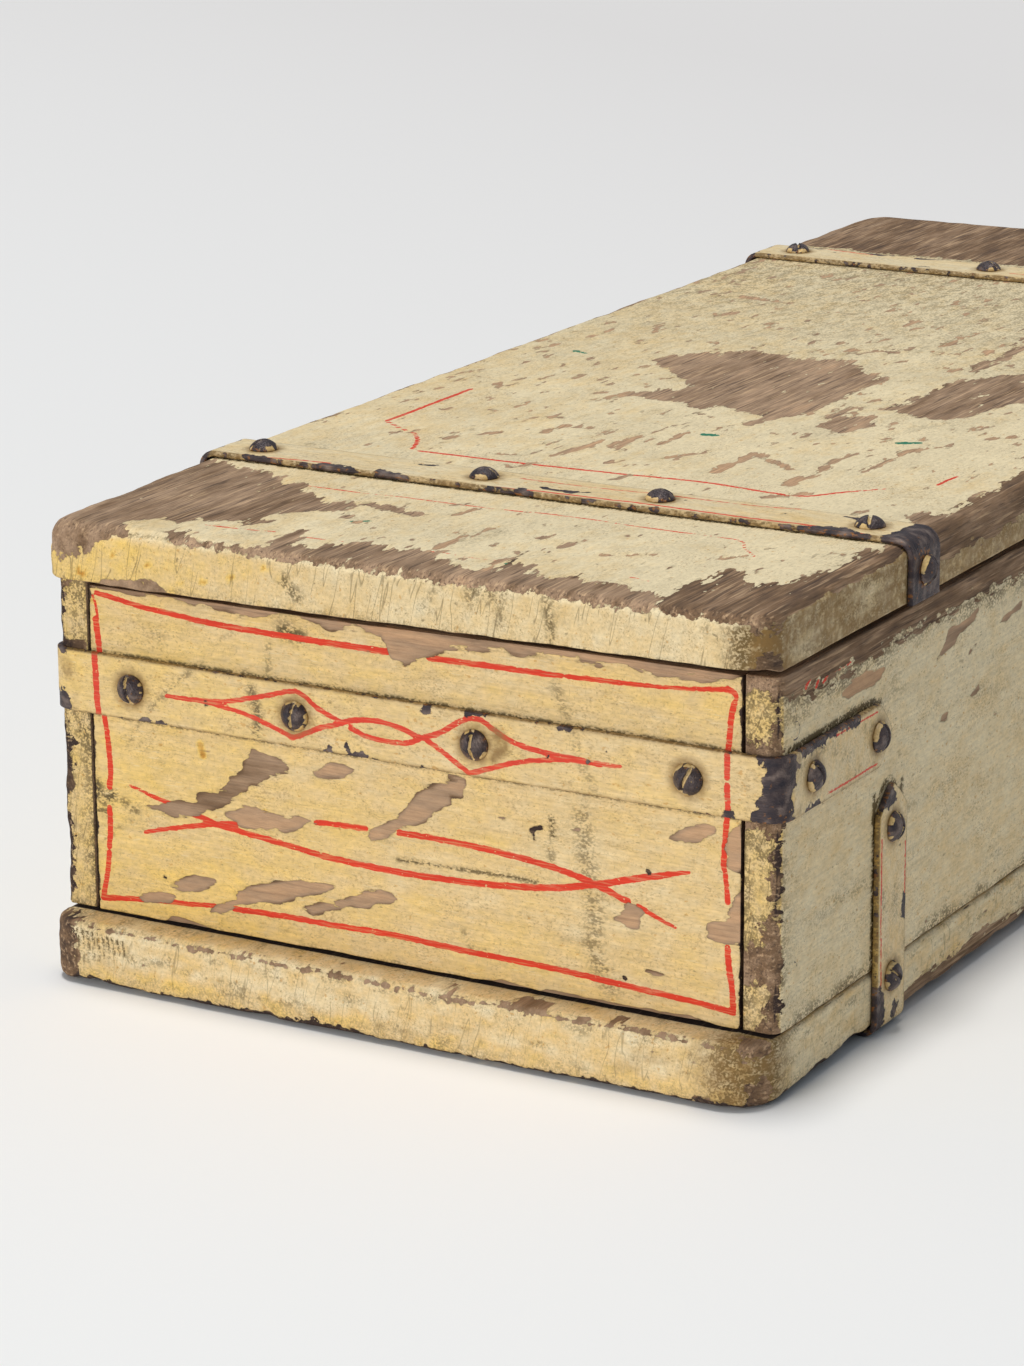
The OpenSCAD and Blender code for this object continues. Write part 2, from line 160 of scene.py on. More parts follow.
# Small dark nicks and ochre stains on the near end, as strokes (x, z).
END_MARKS = [
    (0.9, 0.9, [(46.6, 72.9), (43.9, 71.6), (44.6, 69.2)]), (0.5, 0.5, [(82, 65.5), (82.6, 65)]),
    (0.6, 0.6, [(74.5, 31), (75, 30.6)]), (0.5, 0.5, [(99, 22.5), (99.5, 22)]),
    (0.6, 0.5, [(-87.5, 36), (-87, 35.5)]),
]
END_OCHRE = [
    (1.2, 1.0, [(-73, 81), (-72, 77.7)]), (0.6, 0.5, [(-50, 63), (-49, 61)]),
    (0.5, 0.4, [(-96, 95), (-95, 94)]), (0.5, 0.4, [(-60, 68), (-58.5, 68)]),
    (0.6, 0.4, [(-112, 122), (-110, 121.5)]),
]

# Bare places on the lid: tone, then the outline (x, y).
LID_CHIPS = [
    (0.5, [(-98, -345), (-130, -345), (-130, -205), (-112, -210), (-106, -213), (-94, -214.5),
        (-86, -221), (-80.5, -224), (-76.5, -222), (-69.5, -230.5), (-65, -234), (-60.5, -234.5),
        (-54.5, -241.5), (-51, -235.5), (-46.5, -240), (-45.5, -247), (-50, -246.5), (-56, -254),
        (-62.5, -260.5), (-64, -265.5), (-59, -270), (-62, -276), (-68, -273.5), (-72, -274),
        (-76, -279), (-80, -278.5), (-82.5, -283), (-91, -281.5), (-97, -289), (-94.5, -296.5),
        (-95, -302), (-90, -320)]),
    (0.4, [(-46.5, -237.5), (-44.5, -233.5), (-34, -236.5), (-21, -238.5), (-23.5, -242.5), (-31.5, -241)]),
    (0.4, [(-45.5, -250), (-42.5, -248.5), (-38, -252), (-39.5, -256.5)]),
    (0.45, [(-98, -320), (-94, -299), (-85.5, -302.5), (-80.5, -302.5), (-73.5, -301.5), (-80.5, -294.5),
        (-74.5, -287), (-70.5, -296), (-65.5, -297.5), (-56.5, -298), (-44.5, -296), (-45, -290.5),
        (-46, -278.5), (-43.5, -271.5), (-39, -280.5), (-37.5, -289), (-30, -289.5), (-25.5, -282.5),
        (-21.5, -278), (-17, -277), (-11, -277.5), (-6, -280.5), (-5, -276), (5, -276), (5, -280),
        (9.5, -284), (14.5, -285.5), (20, -289), (28.5, -287), (29, -279), (32.5, -276), (38, -275.5),
        (40, -283.5), (47.5, -287.5), (51.5, -286.5), (54.5, -282.5), (61, -285.5), (68, -285),
        (81.5, -287), (85, -287.5), (99, -314.5), (90, -330), (-90, -330)]),
    (0.72, [(88, -296), (87.5, -290), (86.5, -284), (85.5, -276), (87.5, -267), (89, -261), (90, -254),
        (93.5, -252.5), (95.5, -248.5), (97.5, -242.5), (97.5, -256.5), (101.5, -263.5), (106, -265),
        (111.5, -258), (113.5, -255.5), (113.5, -245.5), (116.5, -241), (116, -233.5), (116.5, -224),
        (116, -213.5), (119.5, -214.5), (119.5, -198), (138, -218), (142, -326), (95.5, -310)]),
    (0.4, [(-70, -5), (-57.5, 13), (-43, 24.5), (-22, 22), (-4, 26), (10.5, 11), (22.5, 2), (20, -8.5),
        (20.5, -26), (19.5, -39.5), (20, -56.5), (17, -65), (13.5, -73.5), (12, -85), (9, -85),
        (7.5, -68.5), (-2, -65), (-11.5, -61), (-12.5, -70.5), (-20.5, -66), (-28.5, -61.5),
        (-37.5, -62.5), (-49, -59.5), (-45, -48.5), (-36, -43.5), (-36, -36), (-52.5, -19)]),
    (0.45, [(38.5, -40), (40.5, -28), (41.5, -15), (41, 3), (45.5, 18), (58, 36), (69.5, 42), (87, 0),
        (74, -12), (72, -25.5), (69.5, -35.5), (65.5, -43), (59.5, -46), (51, -43.5), (45.5, -43)]),
    (0.35, [(31, -75), (27.5, -58), (24.5, -40.5), (28.5, -43), (32, -53.5), (41.5, -53.5),
        (48.5, -63.5), (44.5, -72.5), (43.5, -83), (38.5, -77.5)]),
    (0.5, [(108.5, -172), (108.5, -164.5), (115, -164), (119.5, -156), (121, -140.5), (130.5, -181),
        (117.5, -185)]),
    (0.4, [(37, 28.5), (38, 48), (37.5, 71.5), (33, 95), (42, 79.5), (44, 47.5), (43, 28)]),
]

# Small bare flakes on the lid, as short strokes (x, y).
LID_FLAKES = [
    (1.2, 0.8, [(-42, -158), (-36, -155), (-34, -147)]), (1.2, 0.8, [(-30, -172.5), (-26, -164)]),
    (1.2, 1.0, [(-44, -124.5), (-43, -112.5), (-34.5, -111)]),
    (1.5, 0.8, [(-14.5, -132), (-13.5, -112), (-13, -96.5)]), (1.2, 0.8, [(-3, -121), (-1.5, -102)]),
    (1.5, 1.0, [(8.5, -137.5), (11.5, -131), (15.5, -126)]),
    (1.5, 1.2, [(31, -147.5), (30.5, -129), (31.5, -119), (40, -125.5), (50, -132.5)]),
    (1.4, 1.0, [(62, -139), (59, -123), (58, -112.5), (59.5, -102.5)]),
    (1.6, 1.4, [(58.5, -153), (59, -143.5), (62, -137)]),
    (1.5, 1.0, [(72.5, -124), (72, -108.5), (72.5, -95.5), (78, -83)]),
    (1.2, 0.8, [(90, -63.5), (95, -57)]), (1.0, 0.8, [(108.5, -98.5), (114, -97)]),
    (1.2, 1.0, [(77, -48.5), (81.5, -48)]), (1.5, 1.2, [(60, -170), (64, -165), (69, -160.5)]),
    (1.2, 0.9, [(-26, -153), (-22.5, -139.5), (-22, -128)]),
    (1.0, 0.7, [(34, -255), (36, -247), (37, -241)]),
    (1.0, 0.8, [(-0.5, -289.5), (2, -276), (2.5, -259.5), (5, -243)]),
    (1.0, 0.7, [(28.5, -292.5), (26.5, -277.5), (26, -262)]), (0.9, 0.7, [(-13.5, -235.5), (-11, -225.5)]),
    (0.8, 0.8, [(23.5, -248), (26, -243)]), (1.0, 0.8, [(49.5, -257.5), (55.5, -254), (61, -250)]),
    (1.0, 0.8, [(83, -244.5), (86, -239)]), (1.0, 0.8, [(-87.5, -148), (-83.5, -142)]),
    (1.0, 0.8, [(-91.5, -109), (-89.5, -101)]), (1.0, 0.8, [(-62, -136), (-55.5, -127.5)]),
    (1.0, 0.8, [(-68.5, -148), (-67, -140.5)]), (1.2, 0.9, [(-47.5, -62.5), (-41.5, -55.5), (-33, -56.5)]),
    (0.9, 0.7, [(-4.5, -152.5), (-2, -146.5)]), (0.9, 0.9, [(7.5, -171), (9, -164)]),
    (1.2, 1.0, [(-7, 40), (-2, 46.5), (5.5, 46.5)]), (1.2, 1.0, [(-11, 57.5), (-8.5, 69)]),
    (1.5, 1.0, [(15, 65.5), (14, 85)]), (1.8, 1.2, [(-89.5, 113), (-69.5, 110.5)]),
    (1.2, 1.0, [(-81.5, 78), (-77, 85)]), (1.2, 1.0, [(-13, 91.5), (-12.5, 102)]),
]

# The lid's thin red lines, either side of the near strap, (x, y).
LID_LINES = [
    (0.5, 0.5, [(-76, -225), (-40, -223.5), (-26, -223.5), (-5, -222.5), (15, -220.5), (36.5, -221.5),
        (57, -222), (65.5, -221.5), (78, -223), (83, -230), (90.5, -238)]),
    (0.5, 0.4, [(-74, -282.5), (-62, -281.5), (-50.5, -279.5)]), (0.4, 0.4, [(-40.5, -281), (-25.5, -280)]),
    (0.5, 0.4, [(2.5, -277), (16.5, -278), (26.5, -277.5)]), (0.5, 0.4, [(69, -276), (76, -277)]),
    (0.8, 0.8, [(-67, -167), (-37, -166.5), (-1.5, -165), (33, -162), (55, -164), (67.5, -164.5)]),
    (0.8, 0.6, [(67.5, -164.5), (72, -162), (79, -152.5), (88, -143)]),
    (0.8, 0.6, [(100.5, -130.5), (100.5, -124.5), (101.5, -116)]),
    (0.9, 0.9, [(-99.5, -77), (-99.5, -99), (-99.5, -118.5), (-99.5, -134)]),
    (0.9, 0.8, [(-99.5, -134), (-90, -141), (-82.5, -145.5)]),
    (0.8, 0.8, [(-82, -145), (-75, -154.5), (-70.5, -165.5)]), (0.9, 0.6, [(57, -294.5), (58.5, -297.5)]),
]

# The red lines on top of the near lid strap, and its bare iron patches, (x, y).
LID_STRAP_LINES = [
    (0.5, 0.5, [(-114, -209.5), (-103, -206.5), (-92.5, -204.5), (-78.5, -203)]),
    (0.5, 0.7, [(-50.5, -207), (-14.5, -206), (-1, -204.5), (20, -204), (34, -203.5), (54.5, -204),
        (75, -204.5), (88.5, -204), (105.5, -205), (120, -208)]),
    (0.4, 0.4, [(-15, -192.5), (13.5, -192.3), (30.5, -190.7), (47.5, -190.4), (68, -189.7),
        (80.5, -187.4)]),
]
LID_STRAP_IRON = [
    [(-114.5, -212), (-109, -205), (-101, -204.5), (-97, -208.5), (-85.5, -206), (-76, -202.5),
        (-70.5, -206), (-83, -212), (-98, -212)],
    [(-74.5, -207), (-70.5, -204), (-64, -209), (-68.5, -212)],
    [(-60, -210.5), (-61, -202), (-54, -204), (-44, -207.5), (-47, -212), (-56, -212)],
    [(-34.5, -210), (-31, -206.5), (-24, -209), (-30, -212)],
    [(-11, -207), (-8.5, -203.5), (-2, -206), (-2.5, -212), (-8, -211)],
    [(-4, -199), (0, -199.5), (8.5, -199.5), (13.5, -198.5), (8.5, -202.5), (-1, -201.5)],
    [(35.5, -207), (40, -205), (44.5, -208.5), (40.5, -211)],
    [(68.5, -208), (77.5, -207), (90, -205.5), (102, -201), (110, -205), (118, -207), (126, -207),
        (119.5, -214), (101.5, -213), (86.5, -212), (72, -211)],
    [(96, -189), (102.5, -188.5), (104, -192)],
    [(115, -207), (118, -199), (119, -190), (117, -184), (140, -180), (140, -215), (116, -215)],
    [(-54.5, -190.5), (-47, -189.5), (-48, -191.5)],
]

# Bare iron on the near end strap's face, (x, z).
END_STRAP_IRON = [
    [(-128, 92), (-121, 92.5), (-118.5, 89.5), (-119.5, 87), (-120, 84), (-128, 84)],
    [(-97, 85.5), (-91.5, 87), (-85, 87), (-82, 86), (-90, 84)],
    [(-27, 86.5), (-25, 88), (-22.5, 87), (-23.5, 85.5), (-26, 84.5)],
    [(-20, 87), (-18.5, 90.8), (-17.5, 89.5), (-16.5, 87.5), (-14, 88.6), (-12, 87), (-7.5, 86.5),
        (-12, 85), (-18, 84.5)],
    [(7, 105.3), (9, 108), (11, 107), (10.5, 104), (9, 103.4)],
    [(23, 105.7), (25, 108), (27, 107), (31, 107), (29.5, 104.8), (23.5, 104.6)],
    [(49.5, 106), (51.5, 107.5), (51.5, 105.5), (50, 104.5)],
    [(52.5, 105.3), (56, 107.5), (61, 107.5), (58, 104.9), (53, 104.6)],
    [(106, 85.5), (108, 88), (110.5, 88.3), (111.5, 86.5), (109.5, 84)],
    [(117, 107), (119.5, 104), (121.5, 102), (121, 98), (119.5, 93), (117.5, 89.5), (117, 84), (142, 80),
        (142, 114)],
    [(-128, 108), (-121, 108.5), (-120.5, 104), (-123.5, 103.5)],
]

# Grime on the near end strap: strength, half width, points (x, z). Then a rust smear, as a stroke.
END_STRAP_GRIME = [
    (0.8, 1.8, [(-52.5, 102), (-50, 94.5), (-51, 88)]), (0.5, 1.5, [(59.6, 104), (61, 96.5), (66, 88)]),
    (0.6, 1.0, [(-89.5, 90.5), (-82, 98), (-74.5, 104.5)]),
]
END_STRAP_RUST = [(2.6, 1.5, [(32.8, 100), (35.5, 97), (32, 92.5)])]

# Bare iron on the near end strap's right leg, (y, z).
END_LEG_IRON = [
    [(-301, 110), (-285, 107), (-281.5, 102), (-283.5, 98), (-286, 92.5), (-284.5, 88), (-283, 84),
        (-300, 80)],
    [(-278, 86.8), (-273.5, 88.3), (-268, 87.7), (-266.5, 85.5), (-273, 84)],
    [(-282, 107), (-281, 104), (-262, 103.8), (-241.5, 104), (-242, 107)],
]

# Bare iron on the under strap's right leg (y, z).
UNDER_LEG_IRON = [
    [(-221, 80), (-224.5, 77), (-227, 71.5), (-219.5, 72), (-214, 72.5), (-217.5, 77), (-216.5, 80)],
    [(-209, 41.5), (-211, 34), (-204, 32), (-204, 42)],
    [(-227, 16.5), (-222.5, 16), (-220.5, 8), (-222, 0), (-228, 0)],
    [(-217, 5), (-214, 9), (-211, 7), (-214.5, 3)],
]

# Traces of red lines along the edges of both straps' right legs, (y, z).
END_LEG_LINES = [
    (0.5, 0.4, [(-263, 88.3), (-248, 87.9), (-234.5, 88), (-229, 88)]),
    (0.5, 0.4, [(-258, 104.3), (-240, 104.2), (-229, 104)]),
]
UNDER_LEG_LINES = [
    (0.45, 0.4, [(-224.8, 63), (-224.5, 43.5), (-224, 24), (-223.5, 8)]),
    (0.4, 0.4, [(-208, 58), (-207.8, 38.5)]),
]

# Bare places on the right side: tone, then the outline (y, z).
SIDE_CHIPS = [
    (0.0, [(-253, 114.5), (-246, 115), (-239.5, 117), (-230, 116.5), (-220, 115), (-222.5, 112),
        (-232.5, 111.5), (-244.5, 112)]),
    (0.3, [(-182.5, 108), (-176.5, 111.5), (-174, 115.5), (-163, 115), (-151.5, 117.5), (-153.5, 113.5),
        (-165, 112), (-170, 109.5)]),
    (0.3, [(-135.5, 108.5), (-128, 110), (-117, 111.5), (-118.5, 109), (-129.5, 107.5)]),
    (0.3, [(-160, 89), (-154, 90.5), (-148.5, 93), (-151.5, 89)]),
    (0.3, [(-181.5, 87.5), (-177, 89), (-172, 89.5), (-174, 86.5)]),
    (0.3, [(-158.5, 105), (-152.5, 106), (-153, 104.5), (-158.5, 103)]),
]

# Traces of red near the right side's top, (y, z).
SIDE_RED = [
    (0.8, 0.5, [(-273.5, 122.4), (-270.3, 124)]), (0.7, 0.5, [(-267, 120.8), (-264.5, 123)]),
    (0.6, 0.5, [(-262, 121), (-258.4, 122.5)]), (0.5, 0.5, [(-255, 122.5), (-248.4, 122), (-243, 123.1)]),
]

# The bare strips along the sides' top, by its lower edge, and the bottom board's side, by its upper
# edge, (y, z).
SIDE_TOP = [(-290, 123), (-288, 122.5), (-278, 119.5), (-268, 119), (-251.5, 118), (-245, 118.5),
    (-238, 120.5), (-221, 120.5), (-207, 121.3), (-174, 121), (-136, 120), (-117, 119.5), (0, 121),
    (290, 121)]
SIDE_FOOT = [(-275, 2), (-267, 3), (-254.5, 3.3), (-241, 3), (-227, 2), (-202, 8.5), (-180, 8),
    (-161, 8.5), (-145.5, 10), (-121.5, 8), (-110, 7), (0, 6), (302, 7)]

# Dirt and painted shade round the straps' pointed ends on the sides: strength, half width, points (y, z).
SIDE_SEAMS = [
    (1.4, 0.8, [(-284, 106.8), (-260, 106.8), (-228, 106.7), (-218, 97)]),
    (1.1, 0.8, [(-218, 96.4), (-226, 85.6)]),
    (1.3, 0.9, [(-227.4, 69), (-224.5, 74), (-216.8, 79.4), (-209, 74), (-206, 69)]),
]

# Paint that has held on the right side board's worn front end, and bare places on the left one's, (x, z).
# On the left x is as on the right.
SIDE_END_PAINT = [
    [(112, 121.5), (116.5, 125), (121, 125), (123.5, 121.5), (123.5, 115.5), (121.5, 111), (115, 109.5),
        (112, 111)],
    [(112, 82), (117, 84), (120.5, 83.5), (123.5, 80), (123.5, 72.5), (120.5, 67.5), (123.5, 62),
        (123, 57.5), (119, 55), (119, 49), (112, 48)],
    [(112, 36), (117.5, 36.5), (121.5, 36), (122.5, 31), (121, 26), (118.5, 22.5), (112, 21)],
]
SIDE_END_CHIPS = [
    (0.85, [(124, 67), (121, 64), (120, 61), (122, 59), (126, 60)]),
    (0.85, [(126, 108), (114.5, 109), (114, 106), (122, 103)]),
]

# Bare places on the lid's front edge: tone, raggedness, outline (x, z).
LID_FRONT_CHIPS = [
    (0.5, 1.5, [(-128, 152), (-91, 150), (-97, 146), (-101, 143), (-107, 140), (-114, 138), (-128, 137)]),
    (0.66, 2.6, [(111, 152), (118, 146), (123, 144), (132, 144), (132, 152)]),
    (0.75, 2.0, [(122.5, 137), (119, 128), (132, 128), (132, 139)]),
    (0.4, 0.4, [(-101, 132.2), (-82, 134.5), (-77, 131.5), (-80, 128), (-100, 128)]),
]

# Green spots on the lid's top, as strokes (x, y).
LID_SPOTS = [
    (0.9, 0.7, [(-37, -258), (-32.5, -254.5)]), (0.8, 0.6, [(29, -279), (30.5, -278.5)]),
    (1.8, 1.2, [(4, -102.5), (8, -102)]), (1.8, 1.2, [(65.5, -83), (71.5, -80)]),
    (1.5, 1.0, [(-98.5, -4.5), (-94, -6)]),
]

# Grime on the lid's front edge: strength, half width, points (x, z).
LID_GRIME = [
    (0.8, 1.6, [(54.3, 147), (56.5, 134)]), (0.6, 1.5, [(40, 147), (39.3, 136)]),
    (0.6, 2.0, [(28.5, 147), (29.4, 142)]), (0.8, 2.2, [(-34.8, 140.4), (-32.4, 137.7), (-30.3, 135.8)]),
    (0.5, 1.4, [(12.3, 137.4), (20, 147.4)]), (0.7, 1.8, [(30, 145.9), (38.7, 143.7)]),
    (0.5, 1.2, [(105.5, 146), (106, 143)]),
]

# Dark cracks in the lid's top, (x, y).
LID_CRACKS = [
    [(3.8, -295), (3.8, -288.6), (1.2, -273.9), (2.7, -259.4), (4.7, -243)],
    [(32.3, -300), (30.1, -281.1), (27.5, -263)], [(50.5, -300), (54, -288), (55, -279)],
]

# Ochre stains on the lid's front edge, as strokes (x, z).
LID_OCHRE = [
    (0.8, 0.8, [(-54, 138.3), (-53.4, 138.6)]), (0.9, 0.9, [(-42, 143.2), (-41.5, 142.8)]),
    (0.8, 0.8, [(-64, 136.5), (-63, 136.2)]), (0.7, 0.7, [(-97, 141), (-96, 140.5)]),
    (0.6, 0.5, [(-84, 139), (-82, 139.5)]), (0.8, 0.6, [(-109, 134), (-107, 133)]),
    (0.5, 0.5, [(-72, 134.5), (-71, 134)]),
]

# The worn line along the bottom board's upper front edge, (x, z).
FOOT_LINE = [(-118, 20.5), (-106, 19.9), (-91, 20), (-79.5, 19.7), (-66.5, 19.7), (-52, 19.9),
    (-34, 19.4), (-16, 19.7), (5, 19.5), (20.5, 18.8), (39.5, 20.3), (46.5, 19.9), (60, 19.8),
    (80, 20.4), (99.5, 20.4), (109, 20)]

# How many fine cuts there are at the left of that edge.
FOOT_CUTS = 10

# Bare places on the bottom board's front edge: tone, outline (x, z).
FOOT_CHIPS = [
    (0.5, [(74, 22), (77, 24), (80.5, 23), (79, 20.5), (75, 20)]),
    (0.5, [(15.5, 19), (22.5, 22), (21.5, 17.5), (16.5, 17.5)]),
    (0.5, [(39.5, 22), (53, 22), (56, 19.7), (46.5, 18.8)]),
    (0.85, [(-129, 24), (-115, 22), (-114, 14), (-112.5, 4), (-114, -2), (-129, -2)]),
    (0.6, [(129, 24), (115, 20.5), (118, 18.8), (121, 17), (129, 17)]),
    (0.7, [(121, 9), (123, 6), (119, -2), (129, -2), (129, 10)]),
]

# sRGB colours, as the photograph shows them under this light.
COLOURS = {
    "cream_grey": "e5d3ac", "cream": "dfc18a", "cream_yellow": "e9c46e", "ochre": "c38b34",
    "wood_pale": "d2b08a", "wood_pink": "c39c78", "wood_brown": "a88b70", "wood_dark": "7a5f46",
    "wood_black": "3b2d28", "iron_dark": "28232b", "iron": "463a3a", "iron_pale": "7d6d65",
    "red": "d9391f", "green": "2f7a5c", "grime_and_shade": "675634", "rust": "98622c", "halo": "8a6a3a",
}


def rgba(name):
    """A named colour in linear light, as a shader socket takes it."""
    code = COLOURS[name]
    shares = [int(code[i:i + 2], 16) / 255 for i in (0, 2, 4)]
    linear = [c / 12.92 if c <= 0.04045 else ((c + 0.055) / 1.055) ** 2.4 for c in shares]
    return (*linear, 1.0)


# Noise and shapes on flat faces.

# The twelve ways in which the noise may slope at a cell's corner.
SIGNS = (1, -1)
SLOPES = np.array(
    [(a, b, 0) for a in SIGNS for b in SIGNS] + [(a, 0, b) for a in SIGNS for b in SIGNS]
    + [(0, a, b) for a in SIGNS for b in SIGNS], float)


def gradient_noise(spots, seed):
    """Smooth noise at each 3-D spot, about -1 to 1."""
    order = np.random.default_rng(seed).permutation(256)
    cell = np.floor(spots).astype(np.int64)
    part = spots - cell
    fade = part ** 3 * (part * (part * 6 - 15) + 10)
    total = np.zeros(len(spots))
    for corner in np.ndindex(2, 2, 2):
        at = (cell + corner) & 255
        pick = order[(order[(order[at[:, 0]] + at[:, 1]) & 255] + at[:, 2]) & 255]
        share = np.prod(np.where(corner, fade, 1 - fade), axis=1)
        total += share * np.einsum("ij,ij->i", SLOPES[pick % len(SLOPES)], part - corner)
    return total


def fbm(spots, size, seed, octaves=3):
    """Noise whose largest forms are about the given size, one number or one for each axis."""
    scaled = spots / np.asarray(size, float)
    total = np.zeros(len(spots))
    for octave in range(octaves):
        total += gradient_noise(scaled * 2 ** octave + 17.3 * octave, seed + octave) / 2 ** octave
    return total


def soft(value, start, end):
    """0 up to start, 1 from end, smooth between."""
    share = np.clip((value - start) / (end - start), 0, 1)
    return share * share * (3 - 2 * share)


def smooth(line, steps=6):
    """A smooth curve through the points, as a closer line."""
    points = np.asarray(line, float)
    padded = np.vstack([2 * points[0] - points[1], points, 2 * points[-1] - points[-2]])
    t = np.linspace(0, 1, steps, endpoint=False)[:, None]
    curve = []
    for a, b, c, d in zip(padded, padded[1:], padded[2:], padded[3:]):
        bend = (c - a) * t + (2 * a - 5 * b + 4 * c - d) * t ** 2 + (3 * b - a - 3 * c + d) * t ** 3
        curve.append(b + 0.5 * bend)
    return np.vstack(curve + [points[-1:]])


def to_segment(spots, a, b):
    """How far each 2-D spot is from the straight line between two places."""
    along = b - a
    share = np.clip((spots - a) @ along / max(along @ along, TINY), 0, 1)
    return np.hypot(*(spots - a - share[:, None] * along).T)


def near_box(spots, line):
    """Which spots are near enough to a line to matter."""
    low, high = line.min(0) - FAR, line.max(0) + FAR
    return np.flatnonzero(((spots > low) & (spots < high)).all(1))


def trace(spots, strokes):
    """How far each 2-D spot is inside the nearest brush stroke; outside is below 0."""
    deep = np.full(len(spots), -FAR)
    for start, end, line in strokes:
        path = smooth(line)
        close = near_box(spots, path)
        here, best = spots[close], deep[close]
        for a, b, half in zip(path, path[1:], np.linspace(start, end, len(path))):
            best = np.maximum(best, half - to_segment(here, a, b))
        deep[close] = best
    return deep


def patch(spots, outline):
    """How far each 2-D spot is inside a closed outline; outside is below 0."""
    deep = np.full(len(spots), -FAR)
    ring = np.array(outline + outline[:1], float)
    close = near_box(spots, ring)
    here = spots[close]
    away = np.full(len(here), FAR)
    inside = np.zeros(len(here), bool)
    for a, b in zip(ring, ring[1:]):
        away = np.minimum(away, to_segment(here, a, b))
        if a[1] != b[1]:
            level = a[0] + (here[:, 1] - a[1]) * (b[0] - a[0]) / (b[1] - a[1])
            inside ^= ((a[1] > here[:, 1]) != (b[1] > here[:, 1])) & (here[:, 0] < level)
    deep[close] = np.where(inside, away, -away)
    return deep


def level(places, line):
    """The height of an open line over each place."""
    return np.interp(places, *np.array(line, float).T)


# Marks: what each point of a piece carries for its material. Red, green and bare say how deep it is inside
# such a place, in millimetres, and the others are shares, most of them from 0 to 1.

MARKS = {
    "red": -FAR, "bare": -FAR, "ragged": 0.4, "tone": 0.45, "grime_and_shade": 0.0, "warm": 0.0, "rust": 0.0,
    "crack": 0.0, "green": -FAR,
}
IRON_TONE = 0.5


def blank_marks(count):
    return {name: np.full(count, value) for name, value in MARKS.items()}


def bare(marks, deep, tone, ragged=0.4):
    """Bares the wood or iron where deep is above 0, with an edge as ragged as asked."""
    share = soft(deep - marks["bare"], -2.0, 0) * soft(deep, -3.0 - ragged, 0)
    marks["bare"] = np.maximum(marks["bare"], deep)
    marks["tone"] = marks["tone"] + (tone - marks["tone"]) * share
    marks["ragged"] = marks["ragged"] + (ragged - marks["ragged"]) * share


def bare_patches(marks, spots, patches, fade, ragged=0.4, most=FAR):
    """Bares each outlined place, given as its tone and its outline, to the most depth asked."""
    for tone, outline in patches:
        bare(marks, np.minimum(patch(spots, outline), most) - fade, tone, ragged)


def bare_iron(marks, spots, outlines, fade, ragged, inset=0.0):
    """Bares the iron in each outline, less an inset all round."""
    for outline in outlines:
        bare(marks, patch(spots, outline) - fade - inset, IRON_TONE, ragged)


def raise_mark(marks, name, amount):
    marks[name] = np.maximum(marks[name], amount)


def soil_edges(marks, flat, low, high, reach, strength, seed):
    """Grime along a block's edges, fading over the reach."""
    close = soft(reach * (1 + 0.5 * fbm(flat, 15, seed)) - edge_gap(flat, low, high), 0, reach)
    raise_mark(marks, "grime_and_shade", strength * close)


def soil_and_shade(marks, spots, strokes, fade):
    """Grime in soft strokes: each one's strength, half width and points. Strokes along a strap's edge are
    painted shade as well.
    """
    for strength, half, line in strokes:
        deep = trace(spots, [(half, half, line)]) - fade
        raise_mark(marks, "grime_and_shade", 1.15 * strength * soft(deep, -half, 0.9 * half))


def shade_and_soil_beside(marks, gap, reach, strength):
    """Painted shade and grime in the corner along another piece, from its edge outwards."""
    raise_mark(marks, "grime_and_shade", strength * soft(reach - gap, 0, reach) * (gap > -1))


# Meshes.

def places(*stops):
    """Places along a line: each stop is a stretch's start and its step, and the last one is the end."""
    found = []
    for (start, step), (end, _) in zip(stops, stops[1:]):
        count = max(round((end - start) / step), 1)
        found.extend(start + (end - start) * np.arange(count) / count)
    return np.array(found + [stops[-1][0]])


def shell(xs, ys, zs):
    """The surface of a block cut along the given places: its points and its four-sided faces."""
    on = np.zeros((len(xs), len(ys), len(zs)), bool)
    on[[0, -1]] = True
    on[:, [0, -1]] = True
    on[:, :, [0, -1]] = True
    number = np.full(on.shape, -1)
    number[on] = np.arange(on.sum())
    grid = np.stack(np.meshgrid(xs, ys, zs, indexing="ij"), -1)
    faces = []
    for axis in range(3):
        for end in (0, -1):
            sheet = np.take(number, end, axis)
            corners = [sheet[:-1, :-1], sheet[1:, :-1], sheet[1:, 1:], sheet[:-1, 1:]]
            quads = np.stack(corners, -1).reshape(-1, 4)
            faces.append(quads[:, ::-1] if (end == 0) != (axis == 1) else quads)
    return grid[on], np.concatenate(faces)


def rounded(first, second):
    """Bends a square corner into a round one. Both are measured from the round's centre."""
    corner = (first > 0) & (second > 0)
    scale = np.where(corner, np.maximum(first, second) / np.maximum(np.hypot(first, second), TINY), 1)
    return first * scale, second * scale


def normals_of(points, faces):
    """The way each point of a surface faces."""
    corners = points[faces]
    facing = np.cross(corners[:, 2] - corners[:, 0], corners[:, 3] - corners[:, 1])
    total = np.zeros_like(points)
    for corner in range(4):
        np.add.at(total, faces[:, corner], facing)
    return total / np.maximum(np.linalg.norm(total, axis=1, keepdims=True), TINY)


